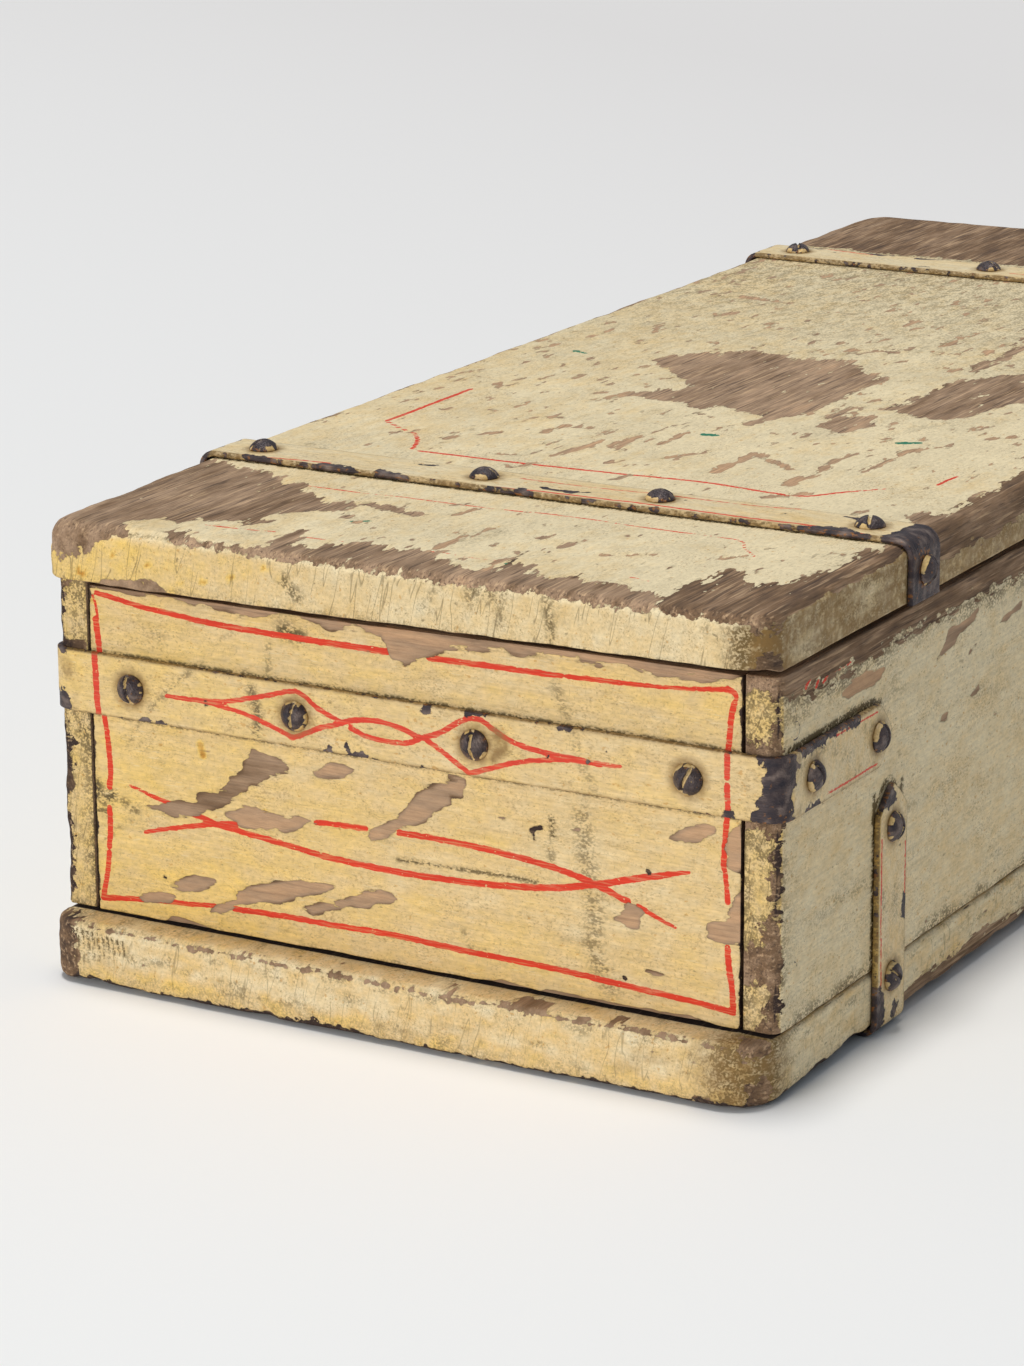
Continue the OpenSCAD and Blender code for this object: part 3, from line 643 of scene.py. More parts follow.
def round_block(flat, low, high, plan_radius, arris_radius):
    """Rounds a block's upright corners, then its other edges. Both radii are one for each point."""
    centre, half = (low + high) / 2, (high - low) / 2
    sign = np.where(flat < centre, -1.0, 1.0)
    away = np.abs(flat - centre)
    inset = np.minimum(half[0] - away[:, 0], half[1] - away[:, 1])
    beyond_x, beyond_y = away[:, 0] - half[0] + plan_radius, away[:, 1] - half[1] + plan_radius
    new_x, new_y = rounded(beyond_x, beyond_y)
    at_corner = (beyond_x > 0) & (beyond_y > 0)
    length = np.maximum(np.hypot(new_x, new_y), TINY)
    near_x = half[0] - away[:, 0] < half[1] - away[:, 1]
    out_x = np.where(at_corner, new_x / length, near_x)
    out_y = np.where(at_corner, new_y / length, ~near_x)
    across, up = arris_radius - inset, away[:, 2] - half[2] + arris_radius
    new_across, new_up = rounded(across, up)
    away_x = away[:, 0] + new_x - beyond_x + out_x * (new_across - across)
    away_y = away[:, 1] + new_y - beyond_y + out_y * (new_across - across)
    away_z = away[:, 2] + new_up - up
    return centre + sign * np.stack([away_x, away_y, away_z], 1)


def edge_gap(flat, low, high):
    """How far each point of a block's surface is from the nearest edge."""
    gaps = np.sort(np.minimum(flat - low, high - flat), axis=1)
    return np.hypot(gaps[:, 0], gaps[:, 1])


def span(node):
    """A node's lowest and highest corners, in millimetres."""
    low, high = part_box(node)
    return np.array(low) / MM, np.array(high) / MM


def make_piece(name, points, faces, marks, material, body, node):
    """A smooth mesh piece with its marks, riding on a body in place of its CAD node."""
    mesh = bpy.data.meshes.new(name)
    mesh.from_pydata((points * MM).tolist(), [], faces.tolist())
    mesh.polygons.foreach_set("use_smooth", np.ones(len(mesh.polygons), bool))
    for mark, values in marks.items():
        mesh.attributes.new(mark, "FLOAT", "POINT").data.foreach_set("value", values.astype(np.float32))
    mesh.materials.append(material)
    mesh.update()
    piece = bpy.data.objects.new(name, mesh)
    bpy.context.scene.collection.objects.link(piece)
    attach(piece, body)
    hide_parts(node)
    return piece


def both_ends(prefix, name, shape, marks, material, body):
    """A near piece and its mirror at the far end. The shape is its points and faces."""
    for end, (points, faces) in (("front", shape), ("rear", mirrored(*shape, 1))):
        node = name + "_" + end
        make_piece(prefix + node, points, faces, marks, material, body, node)


def join(parts):
    """Several (points, faces, marks) as one."""
    starts = np.cumsum([0] + [len(points) for points, _, _ in parts])
    faces = np.concatenate([part[1] + start for part, start in zip(parts, starts)])
    marks = {name: np.concatenate([part[2][name] for part in parts]) for name in MARKS}
    return np.concatenate([part[0] for part in parts]), faces, marks


def mirrored(points, faces, axis):
    flipped = points.copy()
    flipped[:, axis] *= -1
    return flipped, faces[:, ::-1]


# Materials.

class Graph:
    """One material's nodes, made by short calls. The grain is the axis that wood and brush follow."""

    def __init__(self, name, grain=None):
        self.material = bpy.data.materials.new(name)
        self.material.use_nodes = True
        self.tree = self.material.node_tree
        self.tree.nodes.clear()
        self.grain = grain
        self.where = self.add("ShaderNodeTexCoord").outputs["Object"]

    def add(self, kind, links=None, **settings):
        node = self.tree.nodes.new(kind)
        for key, value in settings.items():
            setattr(node, key, value)
        for key, value in (links or {}).items():
            if isinstance(value, bpy.types.NodeSocket):
                self.tree.links.new(value, node.inputs[key])
            else:
                node.inputs[key].default_value = value
        return node

    def mark(self, name):
        return self.add("ShaderNodeAttribute", attribute_name=name).outputs["Fac"]

    def math(self, operation, *values):
        return self.add("ShaderNodeMath", dict(enumerate(values)), operation=operation).outputs[0]

    def spread(self, long, short, high=None, lean=0.0):
        """Places in units of the given sizes along and across the grain, and upwards if that differs."""
        sizes = [long if axis == self.grain else short for axis in range(3)]
        sizes[2] = high or sizes[2]
        links = {"Vector": self.where, "Rotation": (0, lean, 0), "Scale": [MM * size for size in sizes]}
        return self.add("ShaderNodeMapping", links, vector_type="TEXTURE").outputs[0]

    def noise(self, long, short, swing=1.0, detail=2.0, high=None, lean=0.0):
        """Noise of about -swing to swing."""
        links = {"Vector": self.spread(long, short, high, lean), "Scale": 1.0, "Detail": detail}
        found = self.add("ShaderNodeTexNoise", links)
        return self.math("MULTIPLY_ADD", found.outputs[0], 4 * swing, -2 * swing)

    def step(self, value, start, end, low=0.0, high=1.0):
        links = {"Value": value, "From Min": start, "From Max": end, "To Min": low, "To Max": high}
        return self.add("ShaderNodeMapRange", links, interpolation_type="SMOOTHSTEP").outputs[0]

    def mix(self, share, first, second):
        links = {0: share, 6: first, 7: second}
        return self.add("ShaderNodeMix", links, data_type="RGBA").outputs[2]

    def cover(self, colour, value, start, end, share, name):
        """Lays a named colour over another, up to the share, as the value goes from start to end."""
        return self.mix(self.step(value, start, end, 0, share), colour, rgba(name))

    def ramp(self, value, start, end, *names):
        """Named colours in turn as the value goes from start to end."""
        links = {"Value": value, "From Min": start, "From Max": end}
        share = self.add("ShaderNodeMapRange", links).outputs[0]
        node = self.add("ShaderNodeValToRGB", {"Fac": share})
        while len(node.color_ramp.elements) < len(names):
            node.color_ramp.elements.new(0.5)
        for number, name in enumerate(names):
            node.color_ramp.elements[number].position = number / (len(names) - 1)
            node.color_ramp.elements[number].color = rgba(name)
        return node.outputs["Color"]

    def bright(self, colour, value):
        return self.add("ShaderNodeHueSaturation", {"Color": colour, "Value": value}).outputs["Color"]

    def hairlines(self, long, short, high, width, share, lean=0.0):
        """1 on thin broken lines that wander along the longest of the three sizes, 0 elsewhere."""
        wander = self.math("ABSOLUTE", self.noise(long, short, 1.0, 1.5, high, lean))
        kept = self.step(self.noise(long * 0.6, short * 1.5, 1.0, 2.0, high * 0.6), share, share + 0.15)
        return self.math("MULTIPLY", self.step(wander, 0, width, 1, 0), kept)

    def finish(self, colour, roughness, height, metallic=0.0, shine=0.5):
        """Height is in millimetres."""
        bump = self.add("ShaderNodeBump", {"Height": height, "Distance": MM})
        shader = self.add("ShaderNodeBsdfPrincipled", {
            "Base Color": colour, "Roughness": roughness, "Metallic": metallic,
            "Specular IOR Level": shine, "Normal": bump.outputs[0]})
        self.add("ShaderNodeOutputMaterial", {"Surface": shader.outputs[0]})
        return self.material


def paint_ground(g, streaks):
    """Cream paint, paler and warmer by turns, with its specks and smudges."""
    warm = g.math("ADD", g.mark("warm"), g.noise(38, 22, 0.3))
    warm = g.math("ADD", warm, g.noise(8, 4, 0.4, 5.0))
    colour = g.ramp(warm, -1, 2, "cream_grey", "cream", "cream_yellow", "ochre")
    light = g.math("MULTIPLY_ADD", streaks, 0.1, 1.0)
    light = g.math("ADD", light, g.noise(12, 5, 0.04, 4.0))
    light = g.math("ADD", light, g.noise(2.2, 1.1, 0.12, 3.0))
    colour = g.bright(colour, light)
    colour = g.cover(colour, g.noise(2.4, 1.6, 1.7, 3.0), 1.0, 1.5, 0.55, "ochre")
    colour = g.cover(colour, g.noise(2.6, 0.9, 1.7, 3.0), 1.15, 1.7, 0.5, "grime_and_shade")
    colour = g.cover(colour, g.noise(5.0, 0.5, 1.7, 3.0), 0.9, 1.3, 0.35, "cream_grey")
    dust = g.math("ADD", g.noise(1.0, 0.6, 1.4, 2.0), g.noise(20, 12, 0.6))
    colour = g.cover(colour, dust, 0.35, 1.5, 0.42, "halo")
    smudges = g.math("ADD", g.noise(16, 9, 0.8, 5.0), g.noise(1.3, 0.8, 0.4))
    return g.cover(colour, smudges, 0.5, 1.4, 0.45, "grime_and_shade")


def paint_cracks(g):
    """Faint hairlines along the grain, a faint web, and strong upright cracks where they are marked."""
    fine = g.math("MULTIPLY", g.hairlines(14, 3.5, 3.5, 0.05, 0.35), 0.45)
    marked = g.step(g.mark("crack"), 0.5, 0.9)
    upright = g.math("MULTIPLY", g.hairlines(5, 4, 34, 0.06, -0.2, 0.2), marked)
    web = g.math("MAXIMUM", g.hairlines(6, 1.5, 1.5, 0.06, 0.0), g.hairlines(1.6, 1.6, 5, 0.06, 0.1, 0.1))
    fine = g.math("MAXIMUM", fine, g.math("MULTIPLY", web, 0.4))
    return g.math("MAXIMUM", fine, upright)


def paint_colour(g, streaks):
    """Old cream paint with its cracks, pits, grime and painted shade. The second value is 1 in the cracks
    and pits.
    """
    colour = paint_ground(g, streaks)
    crack = paint_cracks(g)
    colour = g.mix(g.math("MULTIPLY", crack, 0.6), colour, rgba("grime_and_shade"))
    pits = g.math("MULTIPLY", g.step(g.noise(3.5, 2, 1.0, 6.0), 0.6, 1.1, 0, 0.85), g.mark("crack"))
    colour = g.mix(pits, colour, rgba("grime_and_shade"))
    spread = g.math("ADD", g.noise(6, 2.5, 0.7, 5.0), g.noise(1.1, 0.7, 0.9))
    spread = g.math("MULTIPLY_ADD", g.mark("grime_and_shade"), 0.5, spread)
    soiled = g.math("MULTIPLY", g.mark("grime_and_shade"), g.step(spread, -0.1, 0.8, 0.06, 1))
    return g.mix(soiled, colour, rgba("grime_and_shade")), g.math("MAXIMUM", crack, pits)


def wood_colour(g, grain):
    """Bare weathered wood, darker with its tone, and more grained where its edge is ragged."""
    tone = g.math("ADD", g.mark("tone"), g.noise(22, 4, 0.22, 5.0))
    tone = g.math("ADD", tone, g.noise(60, 16, 0.15))
    colour = g.ramp(tone, 0, 1, "wood_pink", "wood_brown", "wood_dark", "wood_black")
    rough = g.step(g.mark("ragged"), 0.8, 2.4, 0.25, 1)
    pale = g.math("MULTIPLY", g.step(g.noise(24, 1.1, 1.0, 3.0), 0.1, 0.8, 0, 0.5), rough)
    colour = g.mix(pale, colour, rgba("wood_pale"))
    light = g.math("MULTIPLY_ADD", g.math("MULTIPLY", grain, rough), 0.3, 1.0)
    colour = g.bright(colour, g.math("ADD", light, g.noise(5, 1.5, 0.14, 4.0)))
    dark = g.math("MULTIPLY", g.step(g.noise(20, 0.8, 1.0, 2.0), 0.2, 0.75, 0, 0.6), rough)
    return g.mix(dark, colour, rgba("wood_black"))


def iron_colour(g):
    """Dark iron with flecks of rust."""
    colour = g.ramp(g.noise(5, 3, 1.0, 4.0), -0.9, 0.9, "iron_dark", "iron", "iron_pale")
    rusty = g.math("ADD", g.noise(2.0, 1.2, 1.0, 3.0), g.math("MULTIPLY", g.mark("rust"), 0.9))
    flecks = g.step(rusty, 0.7, 1.2)
    return g.mix(g.math("MULTIPLY", flecks, 0.75), colour, rgba("rust"))


def worn_through(g, long):
    """The bare mark with a ragged edge, and 1 where the paint is gone, less the flakes that have held."""
    shreds = g.math("ADD", g.noise(long, 3.2, 1.7, 6.0), g.noise(long * 2, 1.2, 0.5))
    edge = g.math("MULTIPLY_ADD", shreds, g.mark("ragged"), g.mark("bare"))
    gone = g.step(edge, -0.07, 0.07)
    flakes = g.math("MULTIPLY_ADD", g.mark("bare"), -0.28, g.noise(long, 2.0, 1.6, 5.0))
    held = g.step(g.math("MULTIPLY_ADD", g.mark("ragged"), 0.3, flakes), 1.25, 1.35)
    return edge, g.math("MULTIPLY", gone, g.math("SUBTRACT", 1.0, held))


def red_and_green(g, colour, lines):
    """Thin red and green brush marks over the paint. The second value is 1 on the red."""
    red = g.step(g.math("ADD", g.mark("red"), g.noise(2.4, 1.1, 0.22, 4.0)), -0.1, 0.1)
    red = g.math("MULTIPLY", red, g.step(g.noise(1.6, 0.9, 1.0, 3.0), 0.65, 1.0, 1, 0.15))
    red = g.math("MULTIPLY", red, g.step(g.noise(9, 0.45, 1.0, 3.0), 0.0, 0.7, 1, 0.72))
    colour = g.mix(red, colour, g.bright(rgba("red"), g.math("MULTIPLY_ADD", lines, 0.15, 1.0)))
    green = g.step(g.math("ADD", g.mark("green"), g.noise(1.8, 1.2, 0.5)), -0.1, 0.1)
    return g.mix(green, colour, rgba("green")), red


def aged_paint(name, grain, under, gloss=0.62, metal=0.0, shine=0.3):
    """Paint with red lines over bare wood or iron, as the marks say."""
    g = Graph(name, grain)
    streaks = g.noise(45, 0.7, 1.0, 3.0)
    if grain == 1:
        level_streaks = g.noise(30, 30, 0.7, 3.0, 0.8)
        streaks = g.math("MULTIPLY_ADD", streaks, 0.4, level_streaks)
    lines = g.noise(26, 0.6, 1.0, 4.0)
    colour, crack = paint_colour(g, streaks)
    colour, red = red_and_green(g, colour, lines)
    halo = g.math("MULTIPLY", g.mark("rust"), g.step(g.noise(2.5, 2.5, 1.0, 3.0), -1.2, 0.6, 0.35, 1))
    colour = g.mix(halo, colour, rgba("halo"))
    edge, gone = worn_through(g, 8 if under == "wood" else 3)
    # Painted shade and grime: a thin dark line in the paint round each worn place, at the step of the
    # paint's edge.
    rim = g.math("MULTIPLY", g.step(edge, -0.4, -0.05, 0, 0.3), g.math("SUBTRACT", 1.0, gone))
    colour = g.mix(rim, colour, rgba("grime_and_shade"))
    colour = g.mix(gone, colour, wood_colour(g, lines) if under == "wood" else iron_colour(g))
    height = g.math("MULTIPLY_ADD", gone, -0.2, g.math("MULTIPLY", streaks, 0.016))
    height = g.math("MULTIPLY_ADD", g.math("MULTIPLY", lines, gone), 0.09, height)
    height = g.math("MULTIPLY_ADD", crack, -0.08, height)
    height = g.math("MULTIPLY_ADD", red, 0.03, height)
    height = g.math("ADD", height, g.noise(3, 1.4, 0.035, 4.0))
    rough = g.math("MULTIPLY_ADD", gone, 0.25 if under == "wood" else -0.02, g.noise(8, 4, 0.06))
    metallic = g.math("MULTIPLY", gone, metal) if metal else 0.0
    return g.finish(colour, g.math("ADD", rough, gloss), height, metallic, shine)


def plain_iron(name):
    g = Graph(name)
    colour = iron_colour(g)
    roughness = g.math("ADD", g.noise(3, 3, 0.08), 0.45)
    return g.finish(colour, roughness, g.noise(1.5, 1.5, 0.04), 0.3)


wood_across = aged_paint("painted_wood_across", 0, "wood")
wood_along = aged_paint("painted_wood_along", 1, "wood")
iron_across = aged_paint("painted_iron_across", 0, "iron", 0.52, 0.3, 0.4)
screw_iron = aged_paint("screw_iron", None, "iron", 0.4, 0.3, 0.5)
pin_iron = plain_iron("pin_iron")
nail_iron = plain_iron("nail_iron")


# Boards.

# How far a board's surface waves and ripples, sinks where it is bare, and lies below its plain form.
WAVE, RIPPLE, SINK, REST = 0.2, 0.07, 0.25, 0.3
# How far inside a bare place the unpainted faces count as being.
UNPAINTED = 8.0
# The paint over the corner nails: how far it rises and reaches, and the nails' places (y, z).
NAIL_COVER, NAIL_REACH = 0.4, 4.0
CORNER_NAILS = [(280.5, z) for z in (39, 75.25, 111.5)]
# The side boards' ends, the straps' places along the box, and the end straps' height and shorter left legs.
WALLS_END = 290
LID_STRAP, UNDER_STRAP = 196.2, 216.5
END_STRAP, LEG_SHORTER = 96, 9
STRAP_HALF = 10.0


def weather(points, faces, marks, seed):
    """Lets a surface wave a little and sinks it where the paint is gone, never above the plain form."""
    wave = WAVE * fbm(points, 45, seed, 2) + RIPPLE * fbm(points, 6, seed + 5, 2)
    push = wave - REST - SINK * soft(marks["bare"], -0.3, 0.5)
    return points + normals_of(points, faces) * np.minimum(push, 0)[:, None]


def speckle(flat, size, seed, share):
    """Small bare places scattered by noise, more of them the higher the share."""
    return 2.2 * fbm(flat, size, seed) - 2.4 + 1.6 * share


def at_corners(x, y, z):
    """Spots that make noise the same all round an upright corner."""
    return np.stack([np.sign(x) * 40, np.sign(y) * 40, z], 1)


def at_ends(y, z):
    """Spots that make noise the same all over each end."""
    return np.stack([0 * z, np.sign(y) * 50, z], 1)


def end_view(flat, low, rear):
    """Places on an end's painted face, how deep each point lies behind it, and how marks fade with that."""
    face = np.stack([(-1 if rear else 1) * flat[:, 0], flat[:, 2]], 1)
    depth = flat[:, 1] - low[1]
    return face, depth, np.maximum(depth - 1, 0)


def end_board_form(low, high, rear, seed):
    """The square form, its faces, and its points with worn edges. The upper edge rises with the lid's."""
    step = 1.6 if rear else 0.75
    xs = places((low[0], 0.4), (low[0] + 2, step), (high[0] - 2, 0.4), (high[0], 0))
    ys = places((low[1], 0.4), (low[1] + 2, 4), (high[1] - 1, 0.5), (high[1], 0))
    zs = places((low[2], 0.6), (low[2] + 2, step), (high[2] - 2, 0.4), (high[2], 0))
    flat, faces = shell(xs, ys, zs)
    face, depth, _ = end_view(flat, low, rear)
    across, z = face.T
    arris = 0.6 + 0.2 * fbm(flat, 12, seed, 1)
    points = round_block(flat, low, high, np.full(len(flat), 0.6), arris)
    worn_foot = soft(low[2] + 2.5 - z, 0, 2.5) * soft(8 - depth, 0, 4)
    points[:, 2] += worn_foot * (0.3 + 0.15 * soft(across, -90, 0) + 0.35 * fbm(flat, 14, seed + 2, 2))
    points[:, 2] += soft(z, 122, 127) * (0.3 + 1.5 * soft(across, -40, 90))
    return flat, faces, points


def wear_end_board(marks, flat, low, high, rear, seed):
    """The red lines and the bare places. Behind its painted face the board is bare all over."""
    face, depth, fade = end_view(flat, low, rear)
    across, z = face.T
    marks["red"] = trace(face, END_LINES) + 0.05 - fade
    bare_patches(marks, face, END_CHIPS[::2] if rear else END_CHIPS, fade, 0.9)
    bare(marks, z - level(across, END_TOP) - fade, 0.2, 1.2)
    bare(marks, depth - 1.0, 0.9)
    bare(marks, level(across, END_FOOT) - z - fade, 0.3)
    bare(marks, speckle(flat, (9, 9, 3), seed + 3, 0.5 if rear else 0.15) - fade, 0.2)
    bare(marks, depth - 2.0, 0.4)
    # Painted shade in the joint: the board's sides, and a thin strip of its face along them, are near-black
    # bare wood.
    corner = high[0] - np.abs(flat[:, 0])
    bare(marks, 0.55 + 0.3 * fbm(flat, (9, 9, 14), seed + 4) - corner, 1.0, 0.6)
    for mark in END_MARKS:
        bare(marks, trace(face, [mark]) - fade, 1.0)


def soil_end_board(marks, flat, low, high, rear, seed):
    """The grime, painted shade along the strap's edges, and the warmer paint to the left."""
    face, _, fade = end_view(flat, low, rear)
    z = flat[:, 2]
    soil_edges(marks, flat, low, high, 2.2, 0.5, seed + 5)
    soil_and_shade(marks, face, END_GRIME, fade)
    # Painted shade and grime: a dark band along the strap's lower and upper edges.
    shade_and_soil_beside(marks, np.where(z < END_STRAP, END_STRAP - STRAP_HALF - z, FAR) + fade, 1.5, 1.5)
    shade_and_soil_beside(marks, np.where(z > END_STRAP, z - (END_STRAP + STRAP_HALF), FAR) + fade, 1.1, 1.0)
    left = soft(-flat[:, 0], -20, 110)
    low_left = soft(75 - z, 0, 50)
    marks["warm"] = 0.05 + 0.35 * left + 0.25 * left * low_left + 0.2 * fbm(flat, 40, seed + 7, 2)
    marks["warm"] += 1.6 * soft(trace(face, END_OCHRE) - fade, -0.7, 0.5)
    marks["crack"][:] = 0.25


def end_board(name, rear):
    """An end board. The far one is made as a near one seen from its own side, then mirrored."""
    low, high = span(name)
    if rear:
        low[1], high[1] = -high[1], -low[1]
    seed = 40 if rear else 20
    flat, faces, points = end_board_form(low, high, rear, seed)
    marks = blank_marks(len(flat))
    wear_end_board(marks, flat, low, high, rear, seed)
    soil_end_board(marks, flat, low, high, rear, seed)
    points = weather(points, faces, marks, seed + 9)
    if rear:
        points, faces = mirrored(points, faces, 1)
    make_piece("painted_" + name, points, faces, marks, wood_across, "box", name)


def side_board_form(low, high, left, seed):
    """The square form, its faces, and its points with worn edges and rounder outer ends."""
    xs = places((low[0], 0.5), (low[0] + 1, 2), (low[0] + 5, 0.7), (high[0], 0))
    ys = places((low[1], 0.6), (low[1] + 8, 1.1), (-100, 3), (high[1] - 8, 0.8), (high[1], 0))
    zs = places((low[2], 0.6), (low[2] + 1.2, 1.3), (high[2] - 3, 0.5), (high[2], 0))
    flat, faces = shell(xs, ys, zs)
    x, y, z = flat.T
    outer = np.clip((2.6 if left else 4.6) + 1.8 * fbm(at_ends(y, z), 9, seed), 1.2, 6.0)
    plan = np.where(x > (low[0] + high[0]) / 2, outer, 0.8)
    arris = 1.1 + 0.5 * fbm(np.stack([0 * x, y, np.sign(z - 75) * 40], 1), 14, seed + 3, 2)
    return flat, faces, round_block(flat, low, high, plan, np.clip(arris, 0.4, 2))


def wear_side_board(marks, flat, low, high, left, seed):
    """The bare places, and the traces of red on the right. Inside and below, the board is bare all over."""
    x, y, z = flat.T
    face, end_face = flat[:, [1, 2]], flat[:, [0, 2]]
    from_front, from_far = y - low[1], WALLS_END - y
    fade = np.maximum(high[0] - x - 1.2, 0)
    if not left:
        bare_patches(marks, face, SIDE_CHIPS, fade)
    bare(marks, speckle(flat, (9, 12, 3.5), seed + 5, 0.3) - fade, 0.3)
    bare(marks, z - level(y, SIDE_TOP) + 0.8 * fbm(flat, (20, 20, 6), seed + 6) - fade, 0.62, 3.0)
    if not left:
        marks["red"] = trace(face, SIDE_RED) - fade
        marks["bare"] -= 5 * soft(marks["red"], -1.0, 0.2)
    corner = np.hypot(high[0] - x, WALLS_END - np.abs(y))
    bare(marks, 2.6 + 2.2 * fbm(at_ends(y, z), 11, seed + 7) - corner, 1.05, 2.4)
    if left:
        bare_patches(marks, end_face, SIDE_END_CHIPS, from_front)
    else:
        held = np.max([patch(end_face, outline) for outline in SIDE_END_PAINT], 0)
        bare(marks, -held - 3 * np.maximum(from_front - 1.5, 0) - 2 * np.maximum(x - 124, 0), 0.6, 2.2)
    bare(marks, 1.5 * fbm(flat, 12, seed + 8) + 0.4 - 2 * np.maximum(from_far - 2, 0), 0.6, 1.6)
    # Painted shade in the joint: near-black bare wood along the inner edges at both ends, where the end
    # boards meet it.
    bare(marks, 0.5 - np.hypot(x - low[0], WALLS_END - np.abs(y)), 1.0, 0.6)
    bare(marks, np.where(x < low[0] + 0.1, UNPAINTED, low[0] + 0.4 - x), 0.35, 0.1)
    bare(marks, np.where(z < low[2] + 0.1, UNPAINTED, low[2] + 0.4 - z), 0.4, 0.1)
    bare(marks, z - high[2] + 0.8, 0.5)


def soil_side_board(marks, flat, low, high, left, seed):
    """The grime along the edges, below the worn top and on the front end, and grime with painted shade
    round the straps.
    """
    x, y, z = flat.T
    depth, from_front = high[0] - x, y - low[1]
    fade = np.maximum(depth - 1.2, 0)
    soil_edges(marks, flat, low, high, 7.0, 0.9, seed + 14)
    # Dirt and painted shade in strokes round the straps' pointed ends.
    at_straps = np.stack([(LEG_SHORTER if left else 0) - np.abs(y), z], 1)
    soil_and_shade(marks, at_straps, SIDE_SEAMS[:2] if left else SIDE_SEAMS, fade)
    below_top = level(y, SIDE_TOP) - z + 4 * fbm(flat, (14, 18, 8), seed + 16)
    raise_mark(marks, "grime_and_shade", 0.8 * soft(9 - below_top, 0, 9))
    # Painted shade and grime: dark bands along the edges of the straps' legs.
    beside_under = np.where(z < 78, np.abs(np.abs(y) - UNDER_STRAP) - STRAP_HALF, FAR)
    shade_and_soil_beside(marks, beside_under + fade, 1.8, 1.3)
    beside_end = np.where(np.abs(y) > 222, np.abs(z - END_STRAP) - STRAP_HALF, FAR)
    shade_and_soil_beside(marks, beside_end + fade, 1.6, 1.2)
    dirty = soft(fbm(flat, (12, 16, 9), seed + 15), -0.6, 0.6)
    raise_mark(marks, "grime_and_shade", 0.7 * (dirty * soft(16 - from_front, 0, 16) * (from_front > 1)))
    raise_mark(marks, "grime_and_shade", 0.5 * soft(fbm(flat, (30, 60, 12), seed + 10), 0.1, 0.9) * (depth < 1))
    on_end = 0.2 + 0.6 * soft(fbm(flat, (5, 6, 9), seed + 12), -0.5, 0.5)
    raise_mark(marks, "grime_and_shade", on_end * (from_front < 2))
    marks["warm"] = 0.25 * fbm(flat, 50, seed + 9, 2) + np.where(from_front < 3, 0.25, -0.75)
    marks["crack"] = np.where(from_front < 3, 1.0, 0.35)


def side_board(name, left):
    """A side board. The left one is made as a right one, then mirrored."""
    low, high = span(name)
    if left:
        low[0], high[0] = -high[0], -low[0]
    seed = 60 if left else 80
    flat, faces, points = side_board_form(low, high, left, seed)
    marks = blank_marks(len(flat))
    wear_side_board(marks, flat, low, high, left, seed)
    soil_side_board(marks, flat, low, high, left, seed)
    points = weather(points, faces, marks, seed + 11)
    x, y, z = flat.T
    for along, up in CORNER_NAILS:
        near = np.hypot(np.abs(y) - along, z - up)
        points[:, 0] += NAIL_COVER * soft(NAIL_REACH - near, 0, 1.5) * (high[0] - x < TINY)
    if left:
        points, faces = mirrored(points, faces, 0)
    make_piece("painted_" + name, points, faces, marks, wood_along, "box", name)


def lid_form(low, high, seed):
    """The square form, its faces, and its points with a worn rim. Its front edge rises to the right."""
    xs = places((low[0], 0.7), (low[0] + 9, 1.4), (high[0] - 13, 0.9), (high[0], 0))
    ys = places((low[1], 0.6), (low[1] + 12, 1.2), (-150, 2.4), (high[1] - 9, 0.9), (high[1], 0))
    zs = places((low[2], 0.7), (low[2] + 2.8, 1.4), (high[2] - 6, 0.6), (high[2], 0))
    flat, faces = shell(xs, ys, zs)
    x, y, z = flat.T
    top = z > (low[2] + high[2]) / 2
    rim = np.stack([x, y, 0 * z], 1)
    left_end = soft(-x, 60, 120) * soft(-y, 200, 290)
    worn = 4 + 1.3 * fbm(rim, 16, seed) + 2.5 * left_end + 1.0 * soft(-x, 90, 124)
    arris = np.where(top, np.clip(worn, 2, 8), 0.7 + 0.3 * fbm(rim, 10, seed + 3, 2))
    plan = np.clip(12 + 1.5 * fbm(at_corners(x, y, z), 9, seed + 5), 8, 15)
    points = round_block(flat, low, high, plan, arris)
    lip = soft(low[2] + 4 - z, 0, 4) * soft(-y, 288, 296)
    points[:, 2] += lip * (0.4 * fbm(rim, (16, 30, 16), seed + 4) - 0.4 + 2.2 * soft(x, -110, 125))
    return flat, faces, points


def lid_view(flat, low, high):
    """Places on the lid's front edge, and how marks on its top and on that edge fade away from them."""
    on_top = 2 * np.maximum(high[2] - flat[:, 2] - 0.9, 0)
    on_front = 2 * np.maximum(flat[:, 1] - low[1] - 3, 0)
    return flat[:, [0, 2]], on_top, on_front


